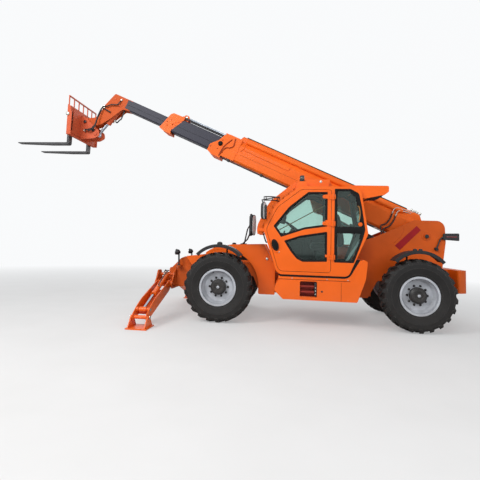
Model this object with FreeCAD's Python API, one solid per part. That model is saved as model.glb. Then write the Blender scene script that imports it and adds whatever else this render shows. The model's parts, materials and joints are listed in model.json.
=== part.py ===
"""Telehandler: rigid four-wheel-steer chassis, side cab, three-section boom, pallet forks and front stabilisers.

Millimetres and degrees. +X is forward, +Y is left (the cab side), +Z is up. Everything is laid out
from the ground point below the rear axle, and moved at the end so that the origin is the middle
of the footprint, on the ground.
"""
import FreeCAD, Part
import math
import os

V = FreeCAD.Vector

# Wheels and axles
wheel_base = 3450.0
tyre_radius = 625.0
tyre_width = 385.0
lug_height = 34.0
lug_pairs = 22
lug_lead = 100.0
lug_root = 22.0
wheel_outer_y = 1180.0
bead_radius = 305.0
rim_flange_radius = 330.0
rim_width = 330.0
rim_wall = 9.0
disc_recess = 148.0
disc_thickness = 14.0
hub_radius = 140.0
hub_flange_radius = 195.0
hub_reach = 88.0
kingpin_y = 760.0
kingpin_radius = 28.0
spindle_radius = 60.0
knuckle_radius = 108.0
yoke_gap = 142.0
yoke_thickness = 58.0
axle_arm_radius = 88.0
diff_radius = 185.0
fender_thickness = 14.0
fender_radius = 550.0
fender_top = 1392.0
fender_width = 340.0
fender_half_angle = 48.0
fender_stay = 85.0

# Fits and gaps
pin_fit = 0.05
seat_gap = 0.3
move_gap = 6.0

# Chassis
rail_y = 390.0
rail_thickness = 30.0
rail_top = 1060.0
rail_low = 880.0
outrigger_bottom = 812.0
outrigger_top = 858.0
outrigger_width = 100.0
belly = 500.0
axle_clear = 800.0
body_face_y = 560.0
front_arch_radius = 690.0
front_arch_drop = 15.0
nose_slope = 241 / 234
lamp_shelf = 952.0
plate = 25.0

# Boom, in its own frame: u runs along the boom from the pivot, v is square to it
boom_pivot_x = -360.0
boom_pivot_z = 1660.0
boom_angle = 24.0
boom_pin_radius = 45.0
outer_half_width = 180.0
outer_bottom = -185.0
outer_crease = 173.0
outer_shoulder = 262.0
outer_top = 390.0
ridge_half_width = 135.0
outer_wall = 12.0
outer_rear = -160.0
outer_front = 4300.0
outer_collar_front = 4617.0
mid_half_width = 145.0
mid_bottom = -150.0
mid_top = 185.0
mid_wall = 10.0
mid_rear = 1000.0
mid_front = 5590.0
mid_collar_front = 5800.0
inner_half_width = 115.0
inner_bottom = -118.0
inner_top = 110.0
inner_wall = 8.0
inner_rear = 1990.0
inner_front = 6720.0
collar_thickness = 20.0
extension_rod_radius = 31.0

# Boom head, carriage and forks
carriage_pin_u = 7393.0
carriage_pin_v = -752.0
carriage_pin_radius = 32.0
tilt_base_u = 6840.0
tilt_base_v = -80.0
tilt_eye_u = 7063.0
tilt_eye_v = -879.0
tilt_barrel_radius = 58.0
tilt_rod_radius = 32.0
tilt_barrel_length = 505.0
tilt_rod_start = 265.0
tilt_neck = 62.0
tilt_boss_radius = 48.0
head_plate_y = 90.0
head_plate_thickness = 22.0
carriage_half_width = 580.0
fork_x = 6865.0
fork_thickness = 45.0
fork_width = 125.0
fork_y = 400.0
fork_bottom_z = 3400.0
fork_tip_x = 8020.0
carriage_bottom_z = 3590.0
carriage_top_z = 4200.0
backrest_top_z = 4425.0

# Lift cylinder
lift_base_x = -50.0
lift_base_z = 1250.0
lift_eye_u = 2000.0
lift_eye_v = -360.0
lift_barrel_radius = 85.0
lift_rod_radius = 50.0
lift_barrel_length = 1190.0
lift_rod_start = 385.0
lift_neck = 118.0
barrel_end = 14.0

# Stabilisers
leg_pivot_y = 600.0
leg_pivot_z = 600.0
leg_length = 1295.0
foot_pin_height = 170.0
leg_pin_radius = 30.0
leg_x = 4595.0
leg_half_width = 125.0
bracket_half_gap = 150.0
leg_wall = 14.0
strut_base_y = 420.0
strut_base_z = 765.0
strut_eye_reach = 1150.0
strut_eye_lift = 60.0
strut_barrel_radius = 46.0
strut_rod_radius = 26.0
strut_barrel_length = 860.0
strut_rod_start = 560.0
strut_neck = 50.0
pad_length = 350.0
pad_width = 380.0
pad_thickness = 20.0

# Cab
cab_left = 1170.0
cab_right = 250.0
cab_wall = 45.0
door_thickness = 45.0
door_gap = 6.0
glass = 6.0
b_pillar_x = 1483.0
door_hinge_x = 1455.0
door_hinge_y = 1188.0
seat_bottom = 1330.0


def unit(x, y):
    """The direction of a plane vector."""
    length = math.hypot(x, y)
    return x / length, y / length


def rounded_corner(before, corner, after, radius):
    """Start, middle and end of the arc that rounds one corner of an outline."""
    ax, ay = unit(before[0] - corner[0], before[1] - corner[1])
    bx, by = unit(after[0] - corner[0], after[1] - corner[1])
    half = math.acos(max(-1.0, min(1.0, ax * bx + ay * by))) / 2
    reach = radius / math.tan(half)
    mx, my = unit(ax + bx, ay + by)
    depth = radius / math.sin(half) - radius
    start = (corner[0] + ax * reach, corner[1] + ay * reach)
    middle = (corner[0] + mx * depth, corner[1] + my * depth)
    end = (corner[0] + bx * reach, corner[1] + by * reach)
    return start, middle, end


def in_space(plane, a, b, level):
    """A point of a drawing plane: x holds (y, z), y holds (x, z), z holds (x, y)."""
    if plane == "x":
        return V(level, a, b)
    if plane == "y":
        return V(a, level, b)
    return V(a, b, level)


def outline_face(plane, points, level):
    """A flat face inside a closed outline of (a, b) or (a, b, corner radius) points."""
    corners = []
    for i, point in enumerate(points):
        here = point[:2]
        if len(point) == 2:
            corners.append((here, None, here))
        else:
            corners.append(rounded_corner(points[i - 1], here, points[(i + 1) % len(points)], point[2]))
    edges = []
    for i, (start, middle, end) in enumerate(corners):
        if middle:
            arc = Part.Arc(*[in_space(plane, *p, level) for p in (start, middle, end)])
            edges.append(arc.toShape())
        following = corners[(i + 1) % len(corners)][0]
        if math.dist(end, following) > 1e-4:
            edges.append(Part.makeLine(in_space(plane, *end, level), in_space(plane, *following, level)))
    return Part.Face(Part.Wire(edges))


def slab(plane, points, low, high, grow=0.0):
    """An outline, grown or shrunk all round, extruded square to its plane."""
    face = outline_face(plane, points, low)
    if grow:
        face = face.makeOffset2D(grow)
    return face.extrude(in_space(plane, 0, 0, high - low))


def pin(plane, a, b, radius, low, high):
    """A round bar square to a drawing plane."""
    return Part.makeCylinder(radius, high - low, in_space(plane, a, b, low), in_space(plane, 0, 0, 1))


def bar(start, end, radius):
    """A round bar from one point to another."""
    return Part.makeCylinder(radius, (end - start).Length, start, end - start)


def ball(centre, radius):
    """A round knuckle where two bars meet."""
    return Part.makeSphere(radius, centre)


def block(x, y, z):
    """A box from three (low, high) pairs."""
    return Part.makeBox(x[1] - x[0], y[1] - y[0], z[1] - z[0], V(x[0], y[0], z[0]))


def fuse(*shapes):
    """One solid out of pieces that overlap."""
    return shapes[0].multiFuse(list(shapes[1:])).removeSplitter()


def cut(shape, *tools):
    """A shape less some tools."""
    return shape.cut(list(tools)).removeSplitter()


def mirrored(shape):
    """The same piece on the other side of the machine."""
    return shape.mirror(V(0, 0, 0), V(0, 1, 0))


def both_sides(shape):
    """A left-hand piece and its right-hand twin, as one list."""
    return [shape, mirrored(shape)]


def turned(profile, centre, axis, reference):
    """A closed (along, radius) outline spun about an axis through a point."""
    points = [centre + axis * along + reference * radius for along, radius in profile]
    edges = [Part.makeLine(points[i], points[(i + 1) % len(points)]) for i in range(len(points))]
    return Part.Face(Part.Wire(edges)).revolve(centre, axis, 360)


def spun(profile, x=0.0, y=0.0, z=0.0):
    """A closed (y, radius) outline spun about a line parallel to Y."""
    return turned(profile, V(x, y, z), V(0, 1, 0), V(0, 0, 1))


def on_boom(shape):
    """A shape drawn with u along X and v along Z, laid on the raised boom."""
    placed = shape.copy()
    placed.rotate(V(0, 0, 0), V(0, -1, 0), boom_angle)
    placed.translate(V(boom_pivot_x, 0, boom_pivot_z))
    return placed


def boom_point(u, v):
    """The (x, z) place of a point given along and square to the boom."""
    a = math.radians(boom_angle)
    x = boom_pivot_x + u * math.cos(a) - v * math.sin(a)
    z = boom_pivot_z + u * math.sin(a) + v * math.cos(a)
    return x, z


# Derived places
nose_x = leg_x - bracket_half_gap - plate - 15
tyre_mid_y = wheel_outer_y - tyre_width / 2
rim_outer_y = tyre_mid_y + rim_width / 2
disc_y = rim_outer_y - disc_recess
rail_outer = rail_y + rail_thickness
lift_base = (lift_base_x, lift_base_z)
lift_eye = boom_point(lift_eye_u, lift_eye_v)
tilt_base = boom_point(tilt_base_u, tilt_base_v)
tilt_eye = boom_point(tilt_eye_u, tilt_eye_v)
carriage_pin = boom_point(carriage_pin_u, carriage_pin_v)
leg_slope = math.asin((leg_pivot_z - foot_pin_height) / leg_length)


def leg_point(along, up):
    """The (y, z) place of a point given along and square to the lowered left leg."""
    y = leg_pivot_y + along * math.cos(leg_slope) + up * math.sin(leg_slope)
    z = leg_pivot_z - along * math.sin(leg_slope) + up * math.cos(leg_slope)
    return y, z


foot_pin = leg_point(leg_length, 0)
strut_base = (strut_base_y, strut_base_z)
strut_eye = leg_point(strut_eye_reach, strut_eye_lift)

# Side outlines of the cab, as (x, z, corner radius)
cab_outline = [(1180, 905, 110), (2400, 905, 130), (2665, 1700, 200), (2460, 2115, 300),
               (2030, 2468, 150), (985, 2468, 140), (850, 1650, 100)]
door_outline = [(b_pillar_x, 965, 50), (2372, 965, 100), (2606, 1695, 160), (2412, 2082, 270),
                (2000, 2402, 110), (b_pillar_x, 2402, 30)]
upper_pane = [(1545, 1762, 20), (1930, 1700, 400), (2345, 1556, 15), (2480, 1748, 20),
              (2210, 2095, 350), (1880, 2362, 60), (1545, 2368, 15)]
lower_pane = [(1545, 1148, 20), (1960, 1134, 60), (2060, 1180, 80), (2165, 1298, 300),
              (2290, 1492, 15), (2012, 1588, 400), (1545, 1670, 20)]
rear_pane = [(1424, 1142, 20), (1424, 2426, 20), (1150, 2426, 60), (1010, 2350, 80),
             (962, 2120, 200), (902, 1715, 60), (945, 1545, 60), (1092, 1142, 25)]
right_pane = [(1500, 1620, 30), (2425, 1620, 30), (2500, 1748, 20), (2210, 2110, 350),
              (1880, 2362, 60), (1500, 2368, 20)]


# One lug as stations of (share of the half width, drop below the tips, lead round the wheel, half thickness)
lug_stations = [(-0.05, 0, lug_lead, 28), (0.80, 12, 0.18 * lug_lead, 34), (0.99, 80, 0, 32)]


def wheel_point(angle, y, radius):
    """A point of the left front tyre, by its angle forward of the top."""
    return V(radius * math.sin(angle), tyre_mid_y + y, tyre_radius + radius * math.cos(angle))


def lug(angle, side):
    """One tread bar as a faceted solid, its root inside the carcass."""
    rings = []
    for share, drop, lead, half in lug_stations:
        y = side * share * tyre_width / 2
        top = tyre_radius - drop
        root_y = y if drop < 50 else y - side * 40
        ring = []
        for offset, level, across in ((-half, top, y), (half, top, y), (half + 8, top - lug_height - lug_root, root_y),
                                      (-half - 8, top - lug_height - lug_root, root_y)):
            ring.append(wheel_point(angle + (lead + offset) / tyre_radius, across, level))
        rings.append(ring)
    faces = []
    for near, far in zip(rings, rings[1:]):
        for i in range(4):
            j = (i + 1) % 4
            faces += [(near[i], near[j], far[j]), (near[i], far[j], far[i])]
    for ring in (rings[0], rings[-1]):
        faces += [(ring[0], ring[1], ring[2]), (ring[0], ring[2], ring[3])]
    skins = [Part.Face(Part.makePolygon([*face, face[0]])) for face in faces]
    return Part.Solid(Part.Shell(skins))


def tyre():
    """A tyre on the left front wheel's centre line: a turned carcass under two rows of slanting lugs."""
    half = tyre_width / 2
    seat = bead_radius + seat_gap
    inside = rim_width / 2 - rim_wall - seat_gap
    tread = tyre_radius - lug_height
    outer_side = [(inside, rim_flange_radius + 8), (0.86 * half, rim_flange_radius + 24), (half, 0.74 * tyre_radius),
                  (0.985 * half, 0.86 * tyre_radius), (0.90 * half, tread - 22), (0.74 * half, tread - 6), (0.35 * half, tread)]
    inner_side = [(-y, radius) for y, radius in reversed(outer_side)]
    carcass = spun([(-inside, seat), (inside, seat), *outer_side, *inner_side], y=tyre_mid_y, z=tyre_radius)
    pitch = 2 * math.pi / lug_pairs
    lugs = []
    for i in range(lug_pairs):
        lugs += [lug(pitch * i, 1), lug(pitch * (i + 0.5), -1)]
    return carcass.multiFuse(lugs)


def rim():
    """A dished disc wheel and the planetary hub that turns with it."""
    half = rim_width / 2
    inner = bead_radius - rim_wall
    disc = disc_y - tyre_mid_y
    wheel = spun([(-half, inner), (disc - disc_thickness - 60, inner), (disc - disc_thickness, inner - 40),
                  (disc - disc_thickness, hub_radius + seat_gap), (disc, hub_radius + seat_gap),
                  (disc, inner - 46), (disc + 60, inner), (half, inner), (half, rim_flange_radius),
                  (half - rim_wall, rim_flange_radius), (half - rim_wall, bead_radius),
                  (rim_wall - half, bead_radius), (rim_wall - half, rim_flange_radius), (-half, rim_flange_radius)],
                 y=tyre_mid_y, z=tyre_radius)
    back = disc - disc_thickness - seat_gap
    bore = spindle_radius + pin_fit
    end = disc + hub_reach
    hub = spun([(-90, bore), (-90, 168), (back - 24, 168), (back - 18, hub_flange_radius),
                (back, hub_flange_radius), (back, hub_radius), (end - 22, hub_radius), (end - 12, hub_radius - 14),
                (end, hub_radius - 28), (end, 34), (end + 10, 26), (end + 10, 0), (52, 0), (52, bore)],
               y=tyre_mid_y, z=tyre_radius)
    return [wheel, hub]


def knuckle(x):
    """Steering knuckle with kingpins, spindle and the mudguard it carries, for the left wheel at x."""
    z = tyre_radius
    inboard = kingpin_y - 60
    outboard = tyre_mid_y - 90 - move_gap
    case = spun([(inboard, 0), (inboard, 84), (inboard + 26, knuckle_radius), (outboard - 20, knuckle_radius),
                 (outboard - 12, 150), (outboard, 150), (outboard, spindle_radius), (tyre_mid_y + 50, spindle_radius),
                 (tyre_mid_y + 50, 0)], x=x, z=z)
    reach = yoke_gap - 2
    bosses = pin("z", x, kingpin_y, 52, z - reach, z + reach)
    kingpins = pin("z", x, kingpin_y, kingpin_radius, z - yoke_gap - yoke_thickness - 8, z + yoke_gap + yoke_thickness + 8)
    lever_x = x - 190 if x > 0 else x + 190
    lever = slab("z", [(x, kingpin_y - 55, 20), (lever_x, kingpin_y - 42, 30), (lever_x, kingpin_y + 42, 30),
                       (x, kingpin_y + 55, 20)], z - 24, z + 24)
    inner_radius = fender_radius - fender_thickness
    centre_z = fender_top - fender_radius
    low = wheel_outer_y - fender_width
    swing = [math.radians(90 + s * fender_half_angle) for s in (1, 0, -1)]
    inner_arc = [V(x + inner_radius * math.cos(a), low, centre_z + inner_radius * math.sin(a)) for a in swing]
    outer_arc = [V(x + fender_radius * math.cos(a), low, centre_z + fender_radius * math.sin(a)) for a in swing]
    edges = [Part.Arc(*inner_arc).toShape(), Part.makeLine(inner_arc[2], outer_arc[2]),
             Part.Arc(*reversed(outer_arc)).toShape(), Part.makeLine(outer_arc[0], inner_arc[0])]
    skin = Part.Face(Part.Wire(edges)).extrude(V(0, fender_width - 12, 0))
    back = -1 if x > 0 else 1
    stay_x = sorted((x + back * fender_stay, x + back * (fender_stay + 28)))
    stay_y = (kingpin_y + 5, kingpin_y + 21)
    top = centre_z + math.sqrt(fender_radius ** 2 - (fender_stay + 28) ** 2) - 4
    post = block(stay_x, stay_y, (z, top))
    arm = block(stay_x, (stay_y[0], low + 220), (top - 26, top))
    return fuse(case, bosses, kingpins, lever, skin, post, arm)


def axle(x):
    """One drive axle: differential case, tapered arms, end yokes, saddles and steering cylinder."""
    z = tyre_radius
    end = kingpin_y - 205
    case = spun([(-end, 0), (-end, axle_arm_radius), (-260, axle_arm_radius + 12), (-150, 130), (-110, 168),
                 (-40, diff_radius), (60, diff_radius), (120, 168), (160, 130), (260, axle_arm_radius + 12),
                 (end, axle_arm_radius), (end, 0)], x=x, z=z)
    yokes = []
    for side in (1, -1):
        reach = yoke_gap + yoke_thickness
        wall = block((x - 62, x + 62), sorted((side * (end - 4), side * (end + 56))), (z - reach, z + reach))
        arms = []
        for low in (z + yoke_gap, z - reach):
            tip = slab("z", [(x - 62, side * (end + 10)), (x + 62, side * (end + 10)), (x + 62, side * (kingpin_y + 56), 50),
                             (x - 62, side * (kingpin_y + 56), 50)], low, low + yoke_thickness)
            arms.append(tip)
        bore = pin("z", x, side * kingpin_y, kingpin_radius + pin_fit, z - reach - 1, z + reach + 1)
        yokes.append(cut(fuse(wall, *arms), bore))
    saddles = [block((x - 120, x + 120), (s * 405 - 55, s * 405 + 55), (z, axle_clear - seat_gap)) for s in (1, -1)]
    ram_x = x - 165 if x > 0 else x + 165
    ram = bar(V(ram_x, -210, z), V(ram_x, 210, z), 42)
    ram_rod = bar(V(ram_x, -480, z), V(ram_x, 480, z), 18)
    clamp = block(sorted((x, ram_x)), (-60, 60), (z - 40, z + 40))
    return fuse(case, *yokes, *saddles, ram, ram_rod, clamp)


def nose_top(x):
    """Height of the nose's sloping edge."""
    return 1097 - nose_slope * (x - 4318)


rail_outline = [(-600, 815, 40), (-650, 1120, 200), (-708, 1560, 300), (-690, 1958, 150), (-150, 1958, 100), (260, 1765, 400),
                (600, 1612, 300), (812, 1540, 60), (1068, rail_low, 60), (2700, rail_low, 60), (2860, rail_top, 60),
                (3960, rail_top, 100), (4240, 1131, 30), (4330, 1090, 60), (nose_x, nose_top(nose_x)), (nose_x, 530), (4240, 540, 60),
                (4030, axle_clear, 60), (2870, axle_clear, 60), (2745, belly, 60), (700, 468, 40), (520, axle_clear, 60),
                (-560, axle_clear, 20)]


def frame_rail():
    """The left side plate of the chassis, from the nose to the boom's rear upright."""
    side = slab("y", rail_outline, rail_y, rail_outer)
    boss = pin("y", boom_pivot_x, boom_pivot_z, 80, rail_y - 30, rail_outer + 10)
    return cut(fuse(side, boss), pin("y", boom_pivot_x, boom_pivot_z, boom_pin_radius + pin_fit, 0, 600))


def stabiliser_bracket():
    """The left box of the nose that holds a stabiliser leg and its cylinder on two pins."""
    shape = [(strut_base_y - 160, 505), (leg_pivot_y + 50, 505, 40), (leg_pivot_y + 80, leg_pivot_z + 10, 70),
             (leg_pivot_y - 10, leg_pivot_z + 100, 100), (strut_base_y + 85, strut_base_z + 85, 80),
             (strut_base_y - 85, strut_base_z + 85, 80), (strut_base_y - 160, strut_base_z - 60, 80)]
    inner = bracket_half_gap
    plates = [slab("x", shape, leg_x - inner - plate, leg_x - inner),
              slab("x", shape, leg_x + inner, leg_x + inner + plate)]
    back = block((leg_x - inner - 1, leg_x + inner + 1), (strut_base_y - 155, strut_base_y - 135), (505, strut_base_z - 60))
    pins = [pin("x", leg_pivot_y, leg_pivot_z, leg_pin_radius, leg_x - inner - plate - 14, leg_x + inner + plate + 14),
            pin("x", *strut_base, leg_pin_radius, leg_x - inner - plate - 14, leg_x + inner + plate + 14)]
    return fuse(*plates, back, *pins)


def frame_sides():
    """The two side plates as one pair."""
    return both_sides(frame_rail())


# Outriggers as (x, y of the outer end)
outrigger_ends = [(1290, 1120), (2210, 1120), (960, -1150), (2320, -1150)]


def outrigger_beam(x, y, room=0.0):
    """A beam from a side plate out to a side box, or the room it takes."""
    edge = rail_outer + seat_gap
    low, high = sorted((edge if y > 0 else -edge, y))
    half = outrigger_width / 2 + room
    return block((x - half, x + half), (low - room, high + room), (outrigger_bottom + seat_gap - room, outrigger_top + room))


def frame_members():
    """What joins the side plates: belly, cross plates, outriggers, boom and lift pins, nose with its brackets."""
    half = rail_y - seat_gap
    cheek_end = leg_x - 70
    spine = [block((700, 2740), (-half, half), (belly, belly + 14)),
             block((-634, -610), (-half, half), (830, 1280)),
             block((-420, 180), (-half, half), (1010, 1090)),
             block((2000, 2120), (-half, half), (belly, 720)),
             block((640, 720), (-half, half), (belly, 860)),
             block((4080, 4110), (-half, half), (axle_clear - 180, 960))]
    lugs = []
    for y in (62, -62):
        lugs.append(slab("y", [(lift_base_x - 130, 1080), (lift_base_x + 130, 1080), (lift_base_x + 60, lift_base_z + 60, 50),
                               (lift_base_x - 60, lift_base_z + 60, 50)], y - 14, y + 14))
    lugs.append(pin("y", *lift_base, 35, -82, 82))
    centre = fuse(spine[0], spine[3], spine[4])
    saddle = fuse(spine[2], *lugs)
    boom_pin = pin("y", boom_pivot_x, boom_pivot_z, boom_pin_radius, -rail_outer - 34, rail_outer + 34)
    nose = [block((nose_x + seat_gap, nose_x + 22), (-rail_outer - 60, rail_outer + 60), (530, 880)),
            block((nose_x + 10, leg_x + bracket_half_gap + plate), (-290, 290), (505, 640)),
            *both_sides(slab("y", [(nose_x + 10, nose_top(nose_x + 10)), (cheek_end, nose_top(cheek_end)),
                                   (cheek_end, 600), (nose_x + 10, 600)], rail_y, rail_outer)),
            *both_sides(stabiliser_bracket())]
    outriggers = []
    for x, y in outrigger_ends:
        beam = outrigger_beam(x, y)
        if y > 0:
            feet = [pin("z", x, spot, 45, 850, 905 - seat_gap) for spot in (cab_right + 260, cab_left - 110)]
            beam = fuse(beam, *feet)
        outriggers.append(beam)
    shelves = [block((4290, 4385), sorted((y * (rail_outer + seat_gap), y * 575)), (936, lamp_shelf)) for y in (1, -1)]
    return [centre, spine[1], saddle, spine[5], boom_pin, fuse(*nose), *outriggers, *shelves, counterweight()]


# The straight top edge of the front body, as (x, z) of its rear and front ends
body_ridge = [(2660, 1425), (3330, 1396)]


def body_top(x):
    """Height of the front body's top edge."""
    (x0, z0), (x1, z1) = body_ridge
    return z0 + (z1 - z0) * (x - x0) / (x1 - x0)


def front_body():
    """Bodywork over the left front wheel, from the nose to the cab, with its wheel arch."""
    shape = [(2445, 468, 20), (2760, 468, 30), (2760, 700), (4040, 960), (4100, 1017, 10), (4192, 1143, 15),
             (3791, 1190, 400), (3640, 1300, 300), (*body_ridge[1], 500), (*body_ridge[0], 20), (2445, 1000, 200)]
    panel = slab("y", shape, rail_outer + seat_gap, body_face_y)
    arch = pin("y", wheel_base, tyre_radius - front_arch_drop, front_arch_radius, rail_outer - 5, body_face_y + 5)
    return cut(panel, arch)


def counterweight():
    """The cast tail weight across the back."""
    top = [(-634 - seat_gap, -370, 10), (-740, -425, 20), (-760, -800, 40), (-960, -690, 150),
           (-960, 690, 150), (-760, 800, 40), (-740, 425, 20), (-634 - seat_gap, 370, 10)]
    weight = slab("z", top, 660, 1060)
    return cut(weight, *[slab("y", rail_outline, y - 1, y + rail_thickness + 1, seat_gap) for y in (rail_y, -rail_outer)])


def side_tank():
    """The panelled tank box below the cab, with the boarding step recessed in it."""
    shape = [(1030, 474, 30), (2293, 481, 30), (2444, 629, 25), (2412, 751, 20), (2361, 812, 10),
             (1162, 812, 10), (1085, 880, 60), (935, 1205, 10), (858, 1172, 10), (889, 866, 40)]
    box = slab("y", shape, body_face_y + 60, wheel_outer_y)
    recess = slab("y", [(1709, 527, 20), (1999, 527, 20), (1999, 800, 20), (1709, 800, 20)], wheel_outer_y - 140,
                  wheel_outer_y + 5)
    rungs = [block((1708, 2000), (wheel_outer_y - 70, wheel_outer_y - 30), (z, z + 22)) for z in (610, 705)]
    return fuse(cut(box, recess), *rungs)


hood_front = 2405.0
hood_rear = 830.0
hood_top = 1470.0
hood_low = 862.0
hood_wall = 28.0
hood_hinge_y = -480.0
hood_hinge_z = hood_top - 16
hood_section = [(-494, hood_top), (-1010, hood_top, 170), (-wheel_outer_y, 1330, 140), (-wheel_outer_y, hood_low),
                (hood_wall - wheel_outer_y, hood_low), (hood_wall - wheel_outer_y, 1318, 112),
                (-1018, hood_top - hood_wall, 142), (-494, hood_top - hood_wall)]
hood_inside = [(-497, 700), (-497, hood_top - hood_wall - 34), (-1030, hood_top - hood_wall - move_gap, 140),
               (hood_wall + move_gap - wheel_outer_y, 1312, 106), (hood_wall + move_gap - wheel_outer_y, 700)]
hinge_stations = [(hood_rear + 200, hood_rear + 300), (hood_front - 300, hood_front - 200)]


def engine_pod():
    """The tray on the right that carries the engine, with fixed ends, an inboard wall and hinge pins."""
    shape = [(hood_rear, 600, 30), (960, 474, 40), (hood_front - 120, 474, 60), (hood_front, 600, 40), (hood_front, 812, 10),
             (hood_rear, 812, 10)]
    tray = slab("y", shape, -wheel_outer_y, -rail_outer - 40)
    hollow = block((hood_rear + 40, hood_front - 40), (-wheel_outer_y + 40, -rail_outer - 80), (520, 900))
    ends = [slab("x", hood_inside, x, x + 24) for x in (hood_rear + 8, hood_front - 32)]
    wall = block((hood_rear + 8, hood_front - 8), (-497, -rail_outer - 45), (790, hood_top - 62))
    notches = [outrigger_beam(x, y, seat_gap) for x, y in outrigger_ends if y < 0]
    pins = []
    for low, high in hinge_stations:
        posts = [block((x, x + 14), (-486, -474), (hood_top - 70, hood_hinge_z)) for x in (low - 16, high + 2)]
        pins.append(fuse(pin("x", hood_hinge_y, hood_hinge_z, 8, low - 16, high + 16), *posts))
    return cut(fuse(cut(tray, hollow), *ends, wall, *pins), *notches)


def engine_hood():
    """The lid over the engine: top and side in one bent sheet, hinged along its inboard top edge."""
    lid = slab("x", hood_section, hood_rear, hood_front)
    barrels = []
    for low, high in hinge_stations:
        tube = pin("x", hood_hinge_y, hood_hinge_z, 14, low, high)
        leaf = block((low, high), (-520, hood_hinge_y), (hood_hinge_z - 6, hood_hinge_z + 6))
        barrels.append(cut(fuse(tube, leaf), pin("x", hood_hinge_y, hood_hinge_z, 8 + pin_fit, low - 1, high + 1)))
    return fuse(lid, *barrels)


def engine_block():
    """The engine and pump as one plain mass."""
    return block((1180, 2240), (-1060, -560), (520 + seat_gap, 1270))


def cab_shell():
    """The hollow cab: one frame with its door opening and every window cut."""
    shell = slab("y", cab_outline, cab_right, cab_left)
    hollow = slab("y", cab_outline, cab_right + cab_wall, cab_left - door_thickness - 2, -cab_wall)
    doorway = slab("y", door_outline, cab_left - door_thickness - 40, cab_left + 5, door_gap)
    side_window = slab("y", rear_pane, cab_left - 200, cab_left + 5)
    right_windows = [slab("y", pane, cab_right - 5, cab_right + 200) for pane in (right_pane, rear_pane)]
    inner_y = (cab_right + 75, cab_left - 75)
    windscreen = slab("y", [(2900, 1290), (2350, 1290), (2560, 1690), (2390, 2060), (2060, 2330), (2060, 2420),
                            (2200, 2700), (2900, 2700)], *inner_y)
    rear_window = slab("y", [(700, 1700), (950, 1700), (1030, 2270), (700, 2270)], *inner_y)
    return cut(shell, hollow, doorway, side_window, *right_windows, windscreen, rear_window)


def pane_in(points, low):
    """A flat pane set in a window, short of its edge."""
    return slab("y", points, low, low + glass, -seat_gap)


def cab_glass():
    """The fixed panes: rear quarter, right-hand side, curved windscreen and rear window."""
    middle = cab_wall / 2
    panes = [pane_in(rear_pane, cab_left - middle), pane_in(right_pane, cab_right + middle),
             pane_in(rear_pane, cab_right + middle)]
    low, high = cab_right + 75 + seat_gap, cab_left - 75 - seat_gap
    bent = cut(slab("y", cab_outline, low, high, -18), slab("y", cab_outline, low - 1, high + 1, -18 - glass))
    front = bent.common(slab("y", [(2900, 1290.3), (2330, 1290.3), (2500, 1700), (2330, 2040), (2059, 2320),
                                   (2060.3, 2420.5), (2200, 2700), (2900, 2700)], low, high))
    rear = bent.common(slab("y", [(700, 1700.3), (960, 1700.3), (1040, 2269.7), (700, 2269.7)], low, high))
    return panes + front.Solids + rear.Solids


def cab_door():
    """The door: a full-height frame with an upper and a lower window."""
    frame = slab("y", door_outline, cab_left - door_thickness, cab_left)
    openings = [slab("y", pane, cab_left - door_thickness - 5, cab_left + 5) for pane in (upper_pane, lower_pane)]
    straps = []
    for z in (1250, 1850, 2290):
        strap = fuse(block((door_hinge_x, 1580), (cab_left + 1, cab_left + 8), (z - 22, z + 22)),
                     block((b_pillar_x + 4, 1580), (cab_left - 1, cab_left + 8), (z - 22, z + 22)))
        knuckle_tube = pin("z", door_hinge_x, door_hinge_y, 14, z - 22, z + 22)
        neck = block((door_hinge_x, door_hinge_x + 30), (cab_left + 1, door_hinge_y), (z - 22, z + 22))
        straps += [cut(fuse(strap, knuckle_tube, neck), pin("z", door_hinge_x, door_hinge_y, 7 + pin_fit, z - 23, z + 23))]
    handle = slab("y", [(2366, 1280, 20), (2440, 1280, 30), (2525, 1520, 20), (2450, 1520, 30)], cab_left - 1, cab_left + 16)
    return fuse(cut(frame, *openings), *straps, handle)


def hinge_pins():
    """The cab's halves of the door hinges: a leaf and pin above and below each door strap."""
    pieces = []
    for z in (1250, 1850, 2290):
        leaves = [block((door_hinge_x - 16, door_hinge_x + 12), (cab_left - 1, door_hinge_y), (low, low + 16))
                  for low in (z + 22 + seat_gap, z - 38 - seat_gap)]
        post = pin("z", door_hinge_x, door_hinge_y, 7, z - 38, z + 38)
        pieces.append(fuse(*leaves, post))
    return pieces


def door_glass():
    """The two panes of the door."""
    return [pane_in(pane, cab_left - door_thickness / 2) for pane in (upper_pane, lower_pane)]


beacon_foot = 2560.0
guard_off = 45.0
guard_depth = 90.0
guard_plate_y = (360.0, 950.0)


def cab_roof():
    """The visor over the rear edge of the roof, and the beacon's base."""
    visor = slab("y", [(1135, 2440), (1135, 2502, 10), (491, 2502, 25), (491, 2400, 25), (560, 2345, 30),
                       (880, 2275, 10), (980, 2275)], cab_right + 170, cab_left - 70)
    visor = cut(visor, slab("y", cab_outline, cab_right, cab_left, seat_gap))
    base = slab("y", [(1860, 2430), (2110, 2400), (2060, beacon_foot, 15), (1925, beacon_foot, 15)], 1000, 1120)
    base = cut(base, slab("y", cab_outline, cab_right, cab_left, seat_gap))
    return [visor, base]


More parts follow.
